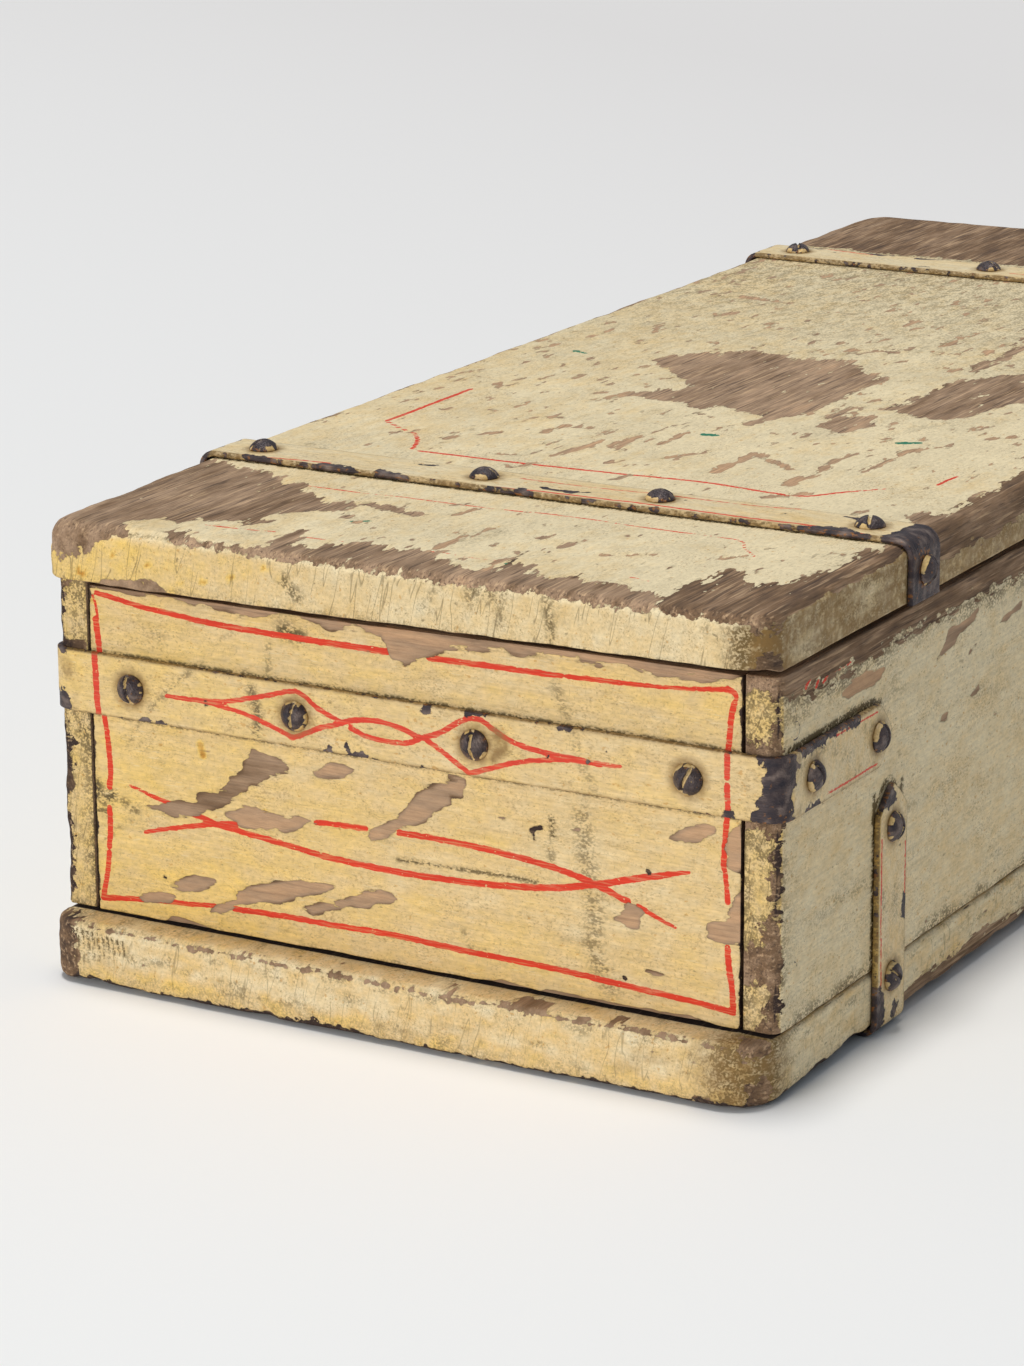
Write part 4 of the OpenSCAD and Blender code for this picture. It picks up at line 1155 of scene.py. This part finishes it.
def wear_lid(marks, flat, low, high, seed):
    """The red and green marks and the bare places. Below, the board is bare all over."""
    x, y, z = flat.T
    rim = np.stack([x, y, 0 * z], 1)
    face = flat[:, :2]
    front, fade, on_front = lid_view(flat, low, high)
    below = high[2] - z
    marks["red"] = trace(face, LID_LINES) - fade
    marks["green"] = trace(face, LID_SPOTS) - fade
    bare_patches(marks, face, LID_CHIPS, fade, 2.6, 3.5)
    for line in LID_CRACKS:
        bare(marks, trace(face, [(0.5, 0.2, line)]) - fade, 1.0, 0.5)
    bare(marks, trace(face, LID_FLAKES) + 0.2 - fade, 0.15, 1.6)
    fades = (on_front, 2 * np.maximum(y + 287, 0), 2 * np.maximum(y + 290, 0), on_front)
    for away, (tone, ragged, outline) in zip(fades, LID_FRONT_CHIPS):
        bare(marks, patch(front, outline) - away, tone, ragged)
    right = 8 + 3 * fbm(rim, (20, 30, 20), seed + 7) - 3 * soft(y, 0, 200)
    bare(marks, np.minimum(x - high[0] + right, y + 190) - 1.2 * np.maximum(below - 4, 0), 0.68, 2.4)
    left = 4.5 + 2.5 * fbm(rim, (20, 25, 20), seed + 9)
    bare(marks, left + low[0] - x - 1.2 * np.maximum(below - 5, 0), 0.5, 2.2)
    bare(marks, y - 220 + 3 * fbm(flat, (14, 30, 14), seed + 11), 0.62, 3.0)
    bare(marks, speckle(flat, (6, 12, 6), seed + 12, 0.1 + 0.45 * soft(y, -160, -60)) - fade, 0.15, 1.6)
    bare(marks, speckle(flat, (8, 12, 3), seed + 14, 0.2), 0.4)
    bare(marks, np.where(z < low[2] + 0.1, UNPAINTED, low[2] + 0.3 - z), 0.55, 0.1)


def soil_lid(marks, flat, low, high, seed):
    """The grime, painted shade along the strap's edges, the warm front edge, and the rusty soiled corner at
    the right.
    """
    x, y, z = flat.T
    front, fade, on_front = lid_view(flat, low, high)
    lit_top = soft(z, high[2] - 5, high[2] - 1)
    soil_edges(marks, flat, low, high, 3.5, 0.6, seed + 20)
    # Painted shade and grime: a dark band along the lid strap's edges.
    shade_and_soil_beside(marks, np.abs(np.abs(y) - LID_STRAP) - STRAP_HALF + fade, 1.8, 1.2)
    marks["warm"] = 0.2 * fbm(flat, 55, seed + 15, 2) - 0.2 - 0.3 * soft(x, -80, 0) - 0.5 * lit_top
    marks["warm"] += 0.75 * soft(-x, 0, 110) * (1 - lit_top) * soft(-y, 284, 296)
    marks["warm"] += 1.6 * soft(trace(front, LID_OCHRE) - on_front, -0.5, 0.5)
    marks["crack"] = np.where(y < low[1] + 2, 0.84, 0.3)
    soil_and_shade(marks, front, LID_GRIME, on_front)
    corner = soft(-np.hypot(x - 125, y + 300), -18, -7) * (1 - lit_top)
    rusty = soft(fbm(flat, (16, 22, 6), seed + 21), -1.2, 0.0)
    marks["rust"] = 0.85 * soft(x, 117, 124) * rusty + 0.4 * corner
    raise_mark(marks, "grime_and_shade", 1.1 * corner)
    raise_mark(marks, "grime_and_shade", 0.8 * soft(x, 119, 124) * soft(fbm(flat, (9, 14, 5), seed + 17), -0.8, 0.5))
    raise_mark(marks, "grime_and_shade", 0.35 * soft(fbm(flat, (18, 34, 18), seed + 18), 0.2, 0.9) * lit_top)
    raise_mark(marks, "grime_and_shade", 0.6 * soft(y, -120, 200))


def lid():
    low, high = span("lid_board")
    seed = 100
    flat, faces, points = lid_form(low, high, seed)
    marks = blank_marks(len(flat))
    wear_lid(marks, flat, low, high, seed)
    soil_lid(marks, flat, low, high, seed)
    points = weather(points, faces, marks, seed + 19)
    make_piece("painted_lid_board", points, faces, marks, wood_along, "lid", "lid_board")


def bottom_rim(flat):
    """Spots that make noise the same up each of the board's edges, above and below its middle."""
    return np.stack([flat[:, 0], flat[:, 1], np.sign(flat[:, 2] - 11) * 30], 1)


def bottom_form(low, high, seed):
    """The square form, its faces, and its points with round corners and a gnawed, sagging lower edge."""
    xs = places((low[0], 0.6), (low[0] + 34, 1.4), (high[0] - 14, 0.8), (high[0], 0))
    ys = places((low[1], 0.6), (low[1] + 14, 2.2), (-120, 3.4), (high[1] - 14, 0.9), (high[1], 0))
    zs = places((low[2], 0.7), (low[2] + 4.2, 1.1), (high[2] - 4, 0.6), (high[2], 0))
    flat, faces = shell(xs, ys, zs)
    x, y, z = flat.T
    rim = bottom_rim(flat)
    arris = np.clip(3 + 1.2 * fbm(rim, 13, seed), 1.2, 5.5)
    plan = 15.5 + 1.5 * fbm(at_corners(x, y, z), 9, seed + 3)
    plan = np.where((x < 0) & (y < 0), plan - 6, plan)
    points = round_block(flat, low, high, plan, arris)
    gnawed = soft(fbm(rim, (17, 22, 17), seed + 16), 0.0, 0.9) * soft(7 - z, 0, 7)
    sagging = soft(7 - z, 0, 5) * soft(np.abs(y), 236, 296)
    points[:, 2] += 1.8 * gnawed - 1.6 * sagging
    return flat, faces, points


def wear_bottom(marks, flat, low, high, seed):
    """The bare places, with a near-black lower edge that is grime and painted shadow. Inside the box the
    board is unpainted, and round its walls a thin near-black seam of bare wood is painted shade in the
    joint.
    """
    x, y, z = flat.T
    rim = bottom_rim(flat)
    front = flat[:, [0, 2]]
    for tone, outline in FOOT_CHIPS:
        worn = patch(front, outline) - np.maximum(y - low[1] - 8, 0)
        bare(marks, worn, tone, 2.0 if tone > 0.55 else 0.8)
    line = trace(front, [(0.5, 0.6, FOOT_LINE)]) - np.maximum(y - low[1] - 2, 0)
    bare(marks, line + 0.5 * fbm(flat, (7, 7, 7), seed + 17), 0.45, 1.2)
    worn = 0.8 * fbm(rim, (9, 12, 9), seed + 5) - 0.3 - edge_gap(flat, low, high)
    bare(marks, np.where(z > high[2] - 3, worn, -FAR), 0.5, 0.8)
    foot = level(y, SIDE_FOOT) + 1.5 * fbm(flat, (12, 20, 6), seed + 6) - z
    bare(marks, foot - 2 * np.maximum(120 - np.abs(x), 0), 0.5, 2.0)
    # Painted shadow and grime: the lowest few millimetres are near-black bare wood, for the dark contact
    # shadow under the edge.
    bare(marks, 3.3 + 1.2 * fbm(rim, 12, seed + 7) - z, 1.25, 1.1)
    bare(marks, speckle(flat, (9, 12, 4), seed + 8, 0.3), 0.4)
    upper = z > high[2] - TINY
    inside = np.minimum(112 - np.abs(x), 270 - np.abs(y))
    bare(marks, np.where(upper, inside, -FAR), 0.35)
    # Painted shade in the joint: a thin near-black seam of bare wood round the walls' foot.
    outside = np.maximum(np.abs(x) - 112, np.abs(y) - 270)
    seam = np.min([123.4 - np.abs(x), 289.9 - np.abs(y), outside], 0)
    bare(marks, np.where(upper, seam, -FAR), 1.3, 0.2)


def knife_cuts():
    """The row of fine cuts at the left of the bottom board's front edge, as strokes."""
    strokes = []
    for number in range(FOOT_CUTS):
        place = -113 + 1.9 * number
        line = [(place, 18.5 - 0.2 * number), (place + 0.7, 13), (place + 0.4, 7 + 0.6 * number)]
        strokes.append((0.6, 0.2, line))
    return strokes


def soil_bottom(marks, flat, low, high, seed):
    """The grime, the cuts, and the warmer paint near the foot of the front edge."""
    x, y, z = flat.T
    soil_edges(marks, flat, low, high, 3.2, 0.3, seed + 15)
    marks["warm"] = 0.3 * fbm(flat, (40, 60, 20), seed + 9, 2) + np.where(np.abs(x) > 124.9, -0.75, -0.35)
    marks["warm"] += 0.7 * fbm(flat, (11, 13, 5), seed + 18) + 0.5 * soft(10 - z, 0, 5) * (y < low[1] + 6)
    marks["crack"][:] = 0.75
    raise_mark(marks, "grime_and_shade", 0.6 * soft(fbm(flat, (12, 20, 5), seed + 11), 0.0, 0.7))
    worn_rim = 8.5 + 3.0 * fbm(bottom_rim(flat), (8, 11, 8), seed + 19)
    raise_mark(marks, "grime_and_shade", 0.4 * soft(worn_rim - z, 0, 5))
    raise_mark(marks, "grime_and_shade", 0.7 * soft(-x, 99, 120) * soft(-y, 280, 295))
    cuts = trace(flat[:, [0, 2]], knife_cuts()) - np.maximum(y - low[1] - 8, 0)
    raise_mark(marks, "grime_and_shade", 1.2 * soft(cuts, -0.6, 0.6))
    right_corner = soft(-np.hypot(x - 125, y + 302), -27, -8)
    marks["rust"] = 0.35 * soft(fbm(flat, (30, 40, 9), seed + 12), 0.35, 0.9) + 0.8 * right_corner
    raise_mark(marks, "grime_and_shade", 1.1 * right_corner)


def bottom():
    low, high = span("bottom_board")
    seed = 140
    flat, faces, points = bottom_form(low, high, seed)
    marks = blank_marks(len(flat))
    wear_bottom(marks, flat, low, high, seed)
    soil_bottom(marks, flat, low, high, seed)
    points = weather(points, faces, marks, seed + 13)
    make_piece("painted_bottom_board", points, faces, marks, wood_along, "box", "bottom_board")


end_board("end_board_front", False)
end_board("end_board_rear", True)
side_board("side_board_right", False)
side_board("side_board_left", True)
lid()
bottom()


# Straps and screws. Each near one is made once and mirrored to the far end.

# The iron's thickness and edge radius, the length of a pointed end, and the plane of the straps' legs.
STRAP_THICK, STRAP_EDGE = 2.0, 0.55
SPEAR = 8.5
STRAP_SIDE = 126.0
LEG_BACK = 124.5
ROUND_EDGE = [-1, -0.985, -0.96, -0.925]
STRAP_ROWS = np.concatenate([ROUND_EDGE, np.linspace(-0.88, 0.88, 24), [0.925, 0.96, 0.985, 1]])
# A screw's head, its slot and its shank.
HEAD_RADIUS, HEAD_HEIGHT, RIM_HEIGHT = 4.75, 3.3, 0.4
SLOT_HALF, SLOT_DEPTH, SHANK_RADIUS, SHANK_LENGTH, POINT = 0.55, 1.5, 2.1, 12.5, 4.0
# A rolled eye's middle, the radius of its iron's middle, and how far it turns in degrees.
EYE_X, EYE_Z, EYE_MIDDLE, EYE_TURN = -129.85, 130.0, 3.55, 300.0

# Each screw: where its head sits, the way it faces, and the slot's turn from upright in degrees.
END_SCREWS = [
    ((-96.5, -292, END_STRAP), "front", -12), ((-36.85, -292, END_STRAP), "front", 4),
    ((25.65, -292, END_STRAP), "front", -3), ((96.5, -292, END_STRAP), "front", 24),
    ((127, -272, END_STRAP), "right", -15), ((127, -228, END_STRAP), "right", 8),
    ((-127, -272, END_STRAP), "left", 47), ((-127, -237, END_STRAP), "left", -30),
]
LID_SCREWS = [
    ((-108, -LID_STRAP, 151), "top", 35), ((-25.65, -LID_STRAP, 151), "top", 80),
    ((36.85, -LID_STRAP, 151), "top", 62), ((108, -LID_STRAP, 151), "top", -20),
    ((127, -LID_STRAP, 139.75), "right", 28),
]
UNDER_SCREWS = [
    ((127, -UNDER_STRAP, 65), "right", 12), ((127, -UNDER_STRAP, 17.5), "right", -40),
    ((-127, -UNDER_STRAP, 65), "left", 20), ((-127, -UNDER_STRAP, 17.5), "left", -8),
]
# The ways that are right, up and out for a screw that faces each way.
FACINGS = {
    "front": ((1, 0, 0), (0, 0, 1), (0, -1, 0)), "right": ((0, 1, 0), (0, 0, 1), (1, 0, 0)),
    "left": ((0, -1, 0), (0, 0, 1), (-1, 0, 0)), "top": ((1, 0, 0), (0, 1, 0), (0, 0, 1)),
}


def walk(*stretches):
    """Joins stretches of a path, and steps along it about every millimetre."""
    line = np.vstack(stretches)
    gaps = np.hypot(*np.diff(line, axis=0).T)
    line = line[np.concatenate([[True], gaps > 1e-4])]
    reach = np.concatenate([[0], np.cumsum(np.hypot(*np.diff(line, axis=0).T))])
    count = int(reach[-1] / 0.9)
    at = np.linspace(0, reach[-1], count + 1)
    return np.stack([np.interp(at, reach, line[:, 0]), np.interp(at, reach, line[:, 1])], 1), at


def arc(centre, radius, start, end, count=40):
    """Points along an arc between two angles in degrees."""
    turn = np.radians(np.linspace(start, end, count))
    return np.stack([centre[0] + radius * np.cos(turn), centre[1] + radius * np.sin(turn)], 1)


def pointed(reach, from_start, from_end):
    """The half width along a strap, with a pointed end where asked."""
    half = np.full(len(reach), STRAP_HALF)
    for asked, gone in ((from_start, reach), (from_end, reach[-1] - reach)):
        if asked:
            half *= np.clip(gone / SPEAR, 0, 1) ** 0.8
    return np.maximum(half, 0.35)


def end_caps(number):
    """Faces that close both ends of a bar, from the numbers of the points round each of its rows."""
    half = number.shape[1] // 2
    caps = []
    for ring, flip in ((number[0], False), (number[-1], True)):
        first, second = ring[:half], ring[::-1][:half]
        quads = np.stack([first[:-1], first[1:], second[1:], second[:-1]], 1)
        caps.append(quads[:, ::-1] if flip else quads)
    return np.concatenate(caps)


def bar_faces(count, around):
    """The faces of a bar of count rows with the given points round each."""
    number = np.arange(count * around).reshape(count, around)
    ahead = np.roll(number, -1, axis=1)
    faces = np.stack([number[:-1], number[1:], ahead[1:], ahead[:-1]], -1).reshape(-1, 4)
    return np.concatenate([faces, end_caps(number)])


def uneven(path, half, seed):
    """Places across a strap at each row, with edges that wander a little where it has its full width."""
    turns = np.stack([path[:, 0], path[:, 1], 0 * half], 1)
    shift = np.stack([0.1 * fbm(turns + place, 22, seed, 2) for place in (0, 60)], 1)
    wander = np.where(STRAP_ROWS < 0, shift[:, :1], shift[:, 1:])
    return half[:, None] * STRAP_ROWS + wander * (half[:, None] > 9) * STRAP_ROWS ** 2


def band(path, half, centre, upright, seed):
    """A flat bar along a path, which runs in plan with its width up, or else in the x-z plane.

    Also gives which points are on its outer side, and how far each one is from its edge.
    """
    along = np.gradient(path, axis=0)
    along /= np.maximum(np.linalg.norm(along, axis=1, keepdims=True), TINY)
    out = np.stack([along[:, 1], -along[:, 0]], 1)
    width = uneven(path, half, seed)
    to_edge = half[:, None] * (1 - np.abs(STRAP_ROWS))
    inset = np.minimum(to_edge, STRAP_EDGE)
    swell = STRAP_THICK / 2 - STRAP_EDGE + np.sqrt(STRAP_EDGE ** 2 - (STRAP_EDGE - inset) ** 2)
    sides = []
    for side in (1, -1):
        plane = path[:, None, :] + out[:, None, :] * (side * swell)[:, :, None]
        order = slice(None) if side > 0 else slice(None, None, -1)
        sides.append(np.concatenate([plane, centre + width[:, :, None]], 2)[:, order])
    grid = np.concatenate(sides, 1)
    count, around = grid.shape[:2]
    faces = bar_faces(count, around)
    points = grid.reshape(-1, 3)
    if not upright:
        points = points[:, [0, 2, 1]]
    if signed_volume(points, faces) < 0:
        faces = faces[:, ::-1]
    outer = np.zeros((count, around), bool)
    outer[:, :around // 2] = True
    gap = np.tile(np.minimum(to_edge, FAR), (1, 2))
    return points, faces, outer.ravel(), gap.ravel()


def signed_volume(points, faces):
    a, b, c, d = (points[faces[:, corner]] for corner in range(4))
    return (np.einsum("ij,ij->i", a, np.cross(b, c)) + np.einsum("ij,ij->i", a, np.cross(c, d))).sum()


def near_screws(points, screws, reach):
    """1 at the rim of a screw's head, down to 0 at the reach."""
    away = np.min([np.linalg.norm(points - np.array(place), axis=1) for place, _, _ in screws], 0)
    return np.clip(1 - (away - HEAD_RADIUS) / reach, 0, 1) * (away < HEAD_RADIUS + reach)


def finish_strap(name, made, marks, screws, body, seed):
    """Wear that every strap has, with grime and painted shade along its edges, then the pieces themselves.
    """
    points, faces, outer, gap = made
    hidden = ~outer & (gap > 1.5)
    bare(marks, np.where(hidden, 0.5, 0.8 * fbm(points, 30, seed) - 0.4 - gap), IRON_TONE, 0.7)
    bare(marks, speckle(points, 6, seed + 3, 0.2), IRON_TONE)
    raise_mark(marks, "rust", near_screws(points, screws, 3.0))
    raise_mark(marks, "rust", 0.6 * soft(1.3 - gap, 0, 1.0))
    # Painted shade and grime: a thin dark line along the strap's edges.
    raise_mark(marks, "grime_and_shade", 0.9 * soft(0.7 - gap, 0, 0.5))
    dents = 0.07 * fbm(points, 5, seed + 5, 2) - 0.08 - 0.1 * soft(marks["bare"], -0.3, 0.4)
    points = points + normals_of(points, faces) * np.where(outer, dents, 0)[:, None]
    both_ends("painted_", name, (points, faces), marks, iron_across, body)


def off_legs(points):
    """How marks on the straps' right legs and on their left ones fade behind the outer faces."""
    return 2 * np.maximum(LEG_BACK - points[:, 0], 0), 2 * np.maximum(LEG_BACK + points[:, 0], 0)


def end_straps():
    bend, side, front = 6.0, STRAP_SIDE, -291.0
    path, reach = walk(
        [(-side, -227.5), (-side, front + bend)], arc((-side + bend, front + bend), bend, 180, 270),
        [(-side + bend, front), (side - bend, front)], arc((side - bend, front + bend), bend, 270, 360),
        [(side, front + bend), (side, -218.5)])
    made = band(path, pointed(reach, True, True), END_STRAP, True, 200)
    points = made[0]
    marks = blank_marks(len(points))
    x, y, _ = points.T
    face, leg = points[:, [0, 2]], points[:, [1, 2]]
    fade = np.maximum(y + 289.5, 0) * 2
    off_right, off_left = off_legs(points)
    marks["red"] = trace(face, STRAP_LINES) + 0.15 - fade
    bare_iron(marks, face, END_STRAP_IRON, fade, 1.1)
    raise_mark(marks, "red", trace(leg, END_LEG_LINES) - off_right - 0.1)
    bare_iron(marks, leg, END_LEG_IRON, off_right, 1.2)
    bare_iron(marks, leg, END_LEG_IRON[1:], off_left, 1.2, 0.4)
    soil_and_shade(marks, face, END_STRAP_GRIME, fade)
    marks["rust"] = 0.9 * soft(trace(face, END_STRAP_RUST), -1.5, 1.5) * (y < -290)
    marks["rust"] += 0.6 * soft(np.abs(x), 115, 120) * soft(fbm(points, 6, 209), -0.1, 0.6) * (y < -280)
    marks["warm"] = np.where(y < -285, 0.05 + 0.3 * soft(-x, -20, 110), -0.4)
    marks["warm"] += 0.2 * fbm(points, 30, 207, 2)
    raise_mark(marks, "grime_and_shade", 0.6 * soft(x, 124, 126) * soft(fbm(points, (9, 12, 5), 208), -0.3, 0.8))
    marks["crack"][:] = 0.2
    finish_strap("end_strap", made, marks, END_SCREWS, "box", 210)


def lid_straps():
    bend, side, top = 5.0, STRAP_SIDE, 150.0
    path, reach = walk(
        [(side, 130.5), (side, top - bend)], arc((side - bend, top - bend), bend, 0, 90),
        [(side - bend, top), (-side + bend, top)], arc((-side + bend, top - bend), bend, 90, 180),
        [(-side, top - bend), (EYE_X + EYE_MIDDLE, EYE_Z + 4)],
        arc((EYE_X, EYE_Z), EYE_MIDDLE, 0, -EYE_TURN))
    made = band(path, pointed(reach, False, False), -LID_STRAP, False, 220)
    points, _, _, gap = made
    marks = blank_marks(len(points))
    x, _, z = points.T
    face = points[:, :2]
    fade = np.maximum(149.3 - z, 0) * 2
    marks["red"] = trace(face, LID_STRAP_LINES) - fade - 1.5 * soft(0.45 - gap, 0, 0.3)
    bare_iron(marks, face, LID_STRAP_IRON, fade, 0.8)
    bare(marks, x - 121 + 2 * fbm(points, 6, 225), IRON_TONE)
    bare(marks, -x - 122 + 2 * fbm(points, 6, 226), IRON_TONE)
    marks["rust"] = 0.6 * soft(x, 121, 124) * soft(fbm(points, 5, 227), -0.1, 0.6)
    marks["warm"] = -0.5 + 0.2 * fbm(points, 30, 228, 2)
    marks["crack"][:] = 0.2
    finish_strap("lid_strap", made, marks, LID_SCREWS, "lid", 230)


def under_straps():
    bend, side, foot = 4.0, STRAP_SIDE, 1.0
    path, reach = walk(
        arc((EYE_X, EYE_Z), EYE_MIDDLE, EYE_TURN, 0), [(-side, EYE_Z - 6), (-side, foot + bend)],
        arc((-side + bend, foot + bend), bend, 180, 270), [(-side + bend, foot), (side - bend, foot)],
        arc((side - bend, foot + bend), bend, 270, 360), [(side, foot + bend), (side, 78.5)])
    made = band(path, pointed(reach, False, True), -UNDER_STRAP, False, 240)
    points, _, _, gap = made
    marks = blank_marks(len(points))
    _, y, z = points.T
    leg = points[:, [1, 2]]
    off_right, off_left = off_legs(points)
    marks["red"] = trace(leg, UNDER_LEG_LINES) - off_right
    bare_iron(marks, leg, UNDER_LEG_IRON, off_right, 0.8)
    bare_iron(marks, leg, UNDER_LEG_IRON[1:], off_left, 1.2, 0.3)
    bare(marks, 2.2 - z + fbm(points, 9, 246), IRON_TONE)
    bare(marks, z - 119 + 2 * fbm(points, 6, 247), IRON_TONE)
    yellow = 1.6 * soft(1.0 - gap, 0, 0.6) * (y < -223)
    marks["warm"] = -0.35 + 0.2 * fbm(points, 30, 248, 2) + yellow
    marks["grime_and_shade"] = 0.6 * soft(fbm(points, (9, 6, 12), 249), -0.3, 0.8)
    marks["crack"][:] = 0.2
    finish_strap("under_strap", made, marks, UNDER_SCREWS, "box", 250)


def screw(place, facing, slot_turn, seed):
    """A round-headed screw with a slot, its shank down to a point."""
    cuts = np.linspace(-1, 1, 34)
    flat, faces = shell(cuts, cuts, np.array([0.0, 1.0]))
    a, b, upper = flat[:, 0], flat[:, 1], flat[:, 2] > 0.5
    u, v = a * np.sqrt(1 - b ** 2 / 2) * HEAD_RADIUS, b * np.sqrt(1 - a ** 2 / 2) * HEAD_RADIUS
    radius = np.hypot(u, v)
    ball = (HEAD_RADIUS ** 2 + (HEAD_HEIGHT - RIM_HEIGHT) ** 2) / (2 * (HEAD_HEIGHT - RIM_HEIGHT))
    dome = RIM_HEIGHT + np.sqrt(np.maximum(ball ** 2 - radius ** 2, 0)) - (ball - HEAD_HEIGHT + RIM_HEIGHT)
    turn = math.radians(slot_turn)
    across = u * math.cos(turn) - v * math.sin(turn)
    cut = soft(SLOT_HALF + 0.12 - np.abs(across), 0, 0.22)
    spots = np.stack([u, v, np.full(len(u), seed * 7.0)], 1)
    dome = dome - 0.1 * soft(fbm(spots, 2.5, seed), -0.5, 1) * upper
    dome = np.where(cut > 0, np.maximum(dome - SLOT_DEPTH * cut, np.minimum(dome, RIM_HEIGHT)), dome)
    shank = SHANK_LENGTH - POINT * np.clip(radius / SHANK_RADIUS, 0, 1)
    w = np.where(upper, dome, np.where(radius < SHANK_RADIUS, -shank, 0.02))
    marks = blank_marks(len(flat))
    held = cut * soft(fbm(spots, 2.2, seed + 1), -0.5, 0.1)
    crescent = soft(radius, 3.7, 4.3) * soft(fbm(spots, 4, seed + 2), -0.05, 0.25)
    marks["bare"] = 0.6 - 1.3 * np.maximum(held, crescent)
    marks["rust"] = 0.15 + 0.5 * soft(radius, 4.1, 4.7)
    marks["warm"][:] = 0.2
    right, up, out = (np.array(way, float) for way in FACINGS[facing])
    points = np.array(place, float) + u[:, None] * right + v[:, None] * up + w[:, None] * out
    if signed_volume(points - points.mean(0), faces) < 0:
        faces = faces[:, ::-1]
    return points, faces, marks


def screws(name, listed, body, seed):
    """A near group of screws and its mirror at the far end."""
    points, faces, marks = join([screw(*one, seed + number) for number, one in enumerate(listed)])
    both_ends("worn_", name, (points, faces), marks, screw_iron, body)


end_straps()
lid_straps()
under_straps()
screws("end_strap_screws", END_SCREWS, "box", 300)
screws("lid_strap_screws", LID_SCREWS, "lid", 320)
screws("under_strap_screws", UNDER_SCREWS, "box", 340)

for node, material in (("hinge_pin_front", pin_iron), ("hinge_pin_rear", pin_iron),
                       ("corner_nails_all", nail_iron), ("bottom_nails_all", nail_iron)):
    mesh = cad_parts[node].data
    mesh.materials.clear()
    mesh.materials.append(material)


# Stage, light and camera, in metres.

FLOOR_REACH = 30.0
# The floor's colour near the camera and far away; the darkening away is painted shade for light falling off
# across the floor.
FLOOR_NEAR, FLOOR_FAR = (0.865, 0.86, 0.85, 1), (0.72, 0.70, 0.69, 1)
WORLD_COLOUR, WORLD_STRENGTH = (0.8, 0.9, 1.0, 1), 0.33
# The camera's place, its lens, and how it is turned: to the left, down and about its own line, in degrees.
CAMERA_PLACE, CAMERA_LENS, CAMERA_TURNS = (0.64909, -1.36015, 0.47322), 115.77, (29.749, 16.160, -0.377)


def make_floor():
    """A wide pale floor whose colour darkens a little away from the camera, as painted shade for light
    falling off with distance.
    """
    mesh = bpy.data.meshes.new("floor")
    corners = [(FLOOR_REACH * a, FLOOR_REACH * b, 0) for a, b in ((-1, -1), (1, -1), (1, 1), (-1, 1))]
    mesh.from_pydata(corners, [], [(0, 1, 2, 3)])
    floor = bpy.data.objects.new("floor", mesh)
    bpy.context.scene.collection.objects.link(floor)
    material = bpy.data.materials.new("pale_floor")
    material.use_nodes = True
    tree = material.node_tree
    shader = tree.nodes["Principled BSDF"]
    place = tree.nodes.new("ShaderNodeTexCoord")
    way = tree.nodes.new("ShaderNodeVectorMath")
    way.operation = "DOT_PRODUCT"
    way.inputs[1].default_value = (0.5, 1, 0)
    share = tree.nodes.new("ShaderNodeMapRange")
    ramp = tree.nodes.new("ShaderNodeValToRGB")
    tree.links.new(place.outputs["Object"], way.inputs[0])
    tree.links.new(way.outputs["Value"], share.inputs["Value"])
    share.inputs["From Min"].default_value = -0.6
    share.inputs["From Max"].default_value = 1.2
    tree.links.new(share.outputs[0], ramp.inputs[0])
    ramp.color_ramp.elements[0].color = FLOOR_NEAR
    ramp.color_ramp.elements[1].color = FLOOR_FAR
    tree.links.new(ramp.outputs["Color"], shader.inputs["Base Color"])
    shader.inputs["Roughness"].default_value = 0.9
    shader.inputs["Specular IOR Level"].default_value = 0.0
    mesh.materials.append(material)


def make_sun(name, way, spread, power, colour):
    """A sun that shines from the given way, as wide as spread in degrees."""
    data = bpy.data.lights.new(name, "SUN")
    data.angle = math.radians(spread)
    data.energy = power
    data.color = colour
    lamp = bpy.data.objects.new(name, data)
    bpy.context.scene.collection.objects.link(lamp)
    lamp.rotation_euler = Vector(way).to_track_quat("Z", "Y").to_euler()


def make_world():
    world = bpy.data.worlds.new("studio")
    bpy.context.scene.world = world
    world.use_nodes = True
    world.node_tree.nodes["Background"].inputs["Color"].default_value = WORLD_COLOUR
    world.node_tree.nodes["Background"].inputs["Strength"].default_value = WORLD_STRENGTH


def make_camera():
    yaw, pitch, roll = (math.radians(angle) for angle in CAMERA_TURNS)
    right = Vector((math.cos(yaw), math.sin(yaw), 0))
    level_ahead = Vector((-math.sin(yaw), math.cos(yaw), 0))
    ahead = level_ahead * math.cos(pitch) - Vector((0, 0, math.sin(pitch)))
    up = right.cross(ahead)
    across = right * math.cos(roll) + up * math.sin(roll)
    upright = -right * math.sin(roll) + up * math.cos(roll)
    data = bpy.data.cameras.new("camera")
    data.sensor_width = 36
    data.lens = CAMERA_LENS
    camera = bpy.data.objects.new("camera", data)
    turn = Matrix((across, upright, -ahead)).transposed().to_4x4()
    camera.matrix_world = Matrix.Translation(CAMERA_PLACE) @ turn
    bpy.context.scene.collection.objects.link(camera)
    bpy.context.scene.camera = camera


make_floor()
make_sun("key", (-0.2, -0.95, 0.26), 28, 1.53, (1.0, 0.965, 0.92))
make_sun("top", (-0.05, 0.0, 1.0), 12, 1.9, (1.0, 0.985, 0.96))
make_world()
make_camera()
bpy.context.scene.view_settings.view_transform = "Standard"
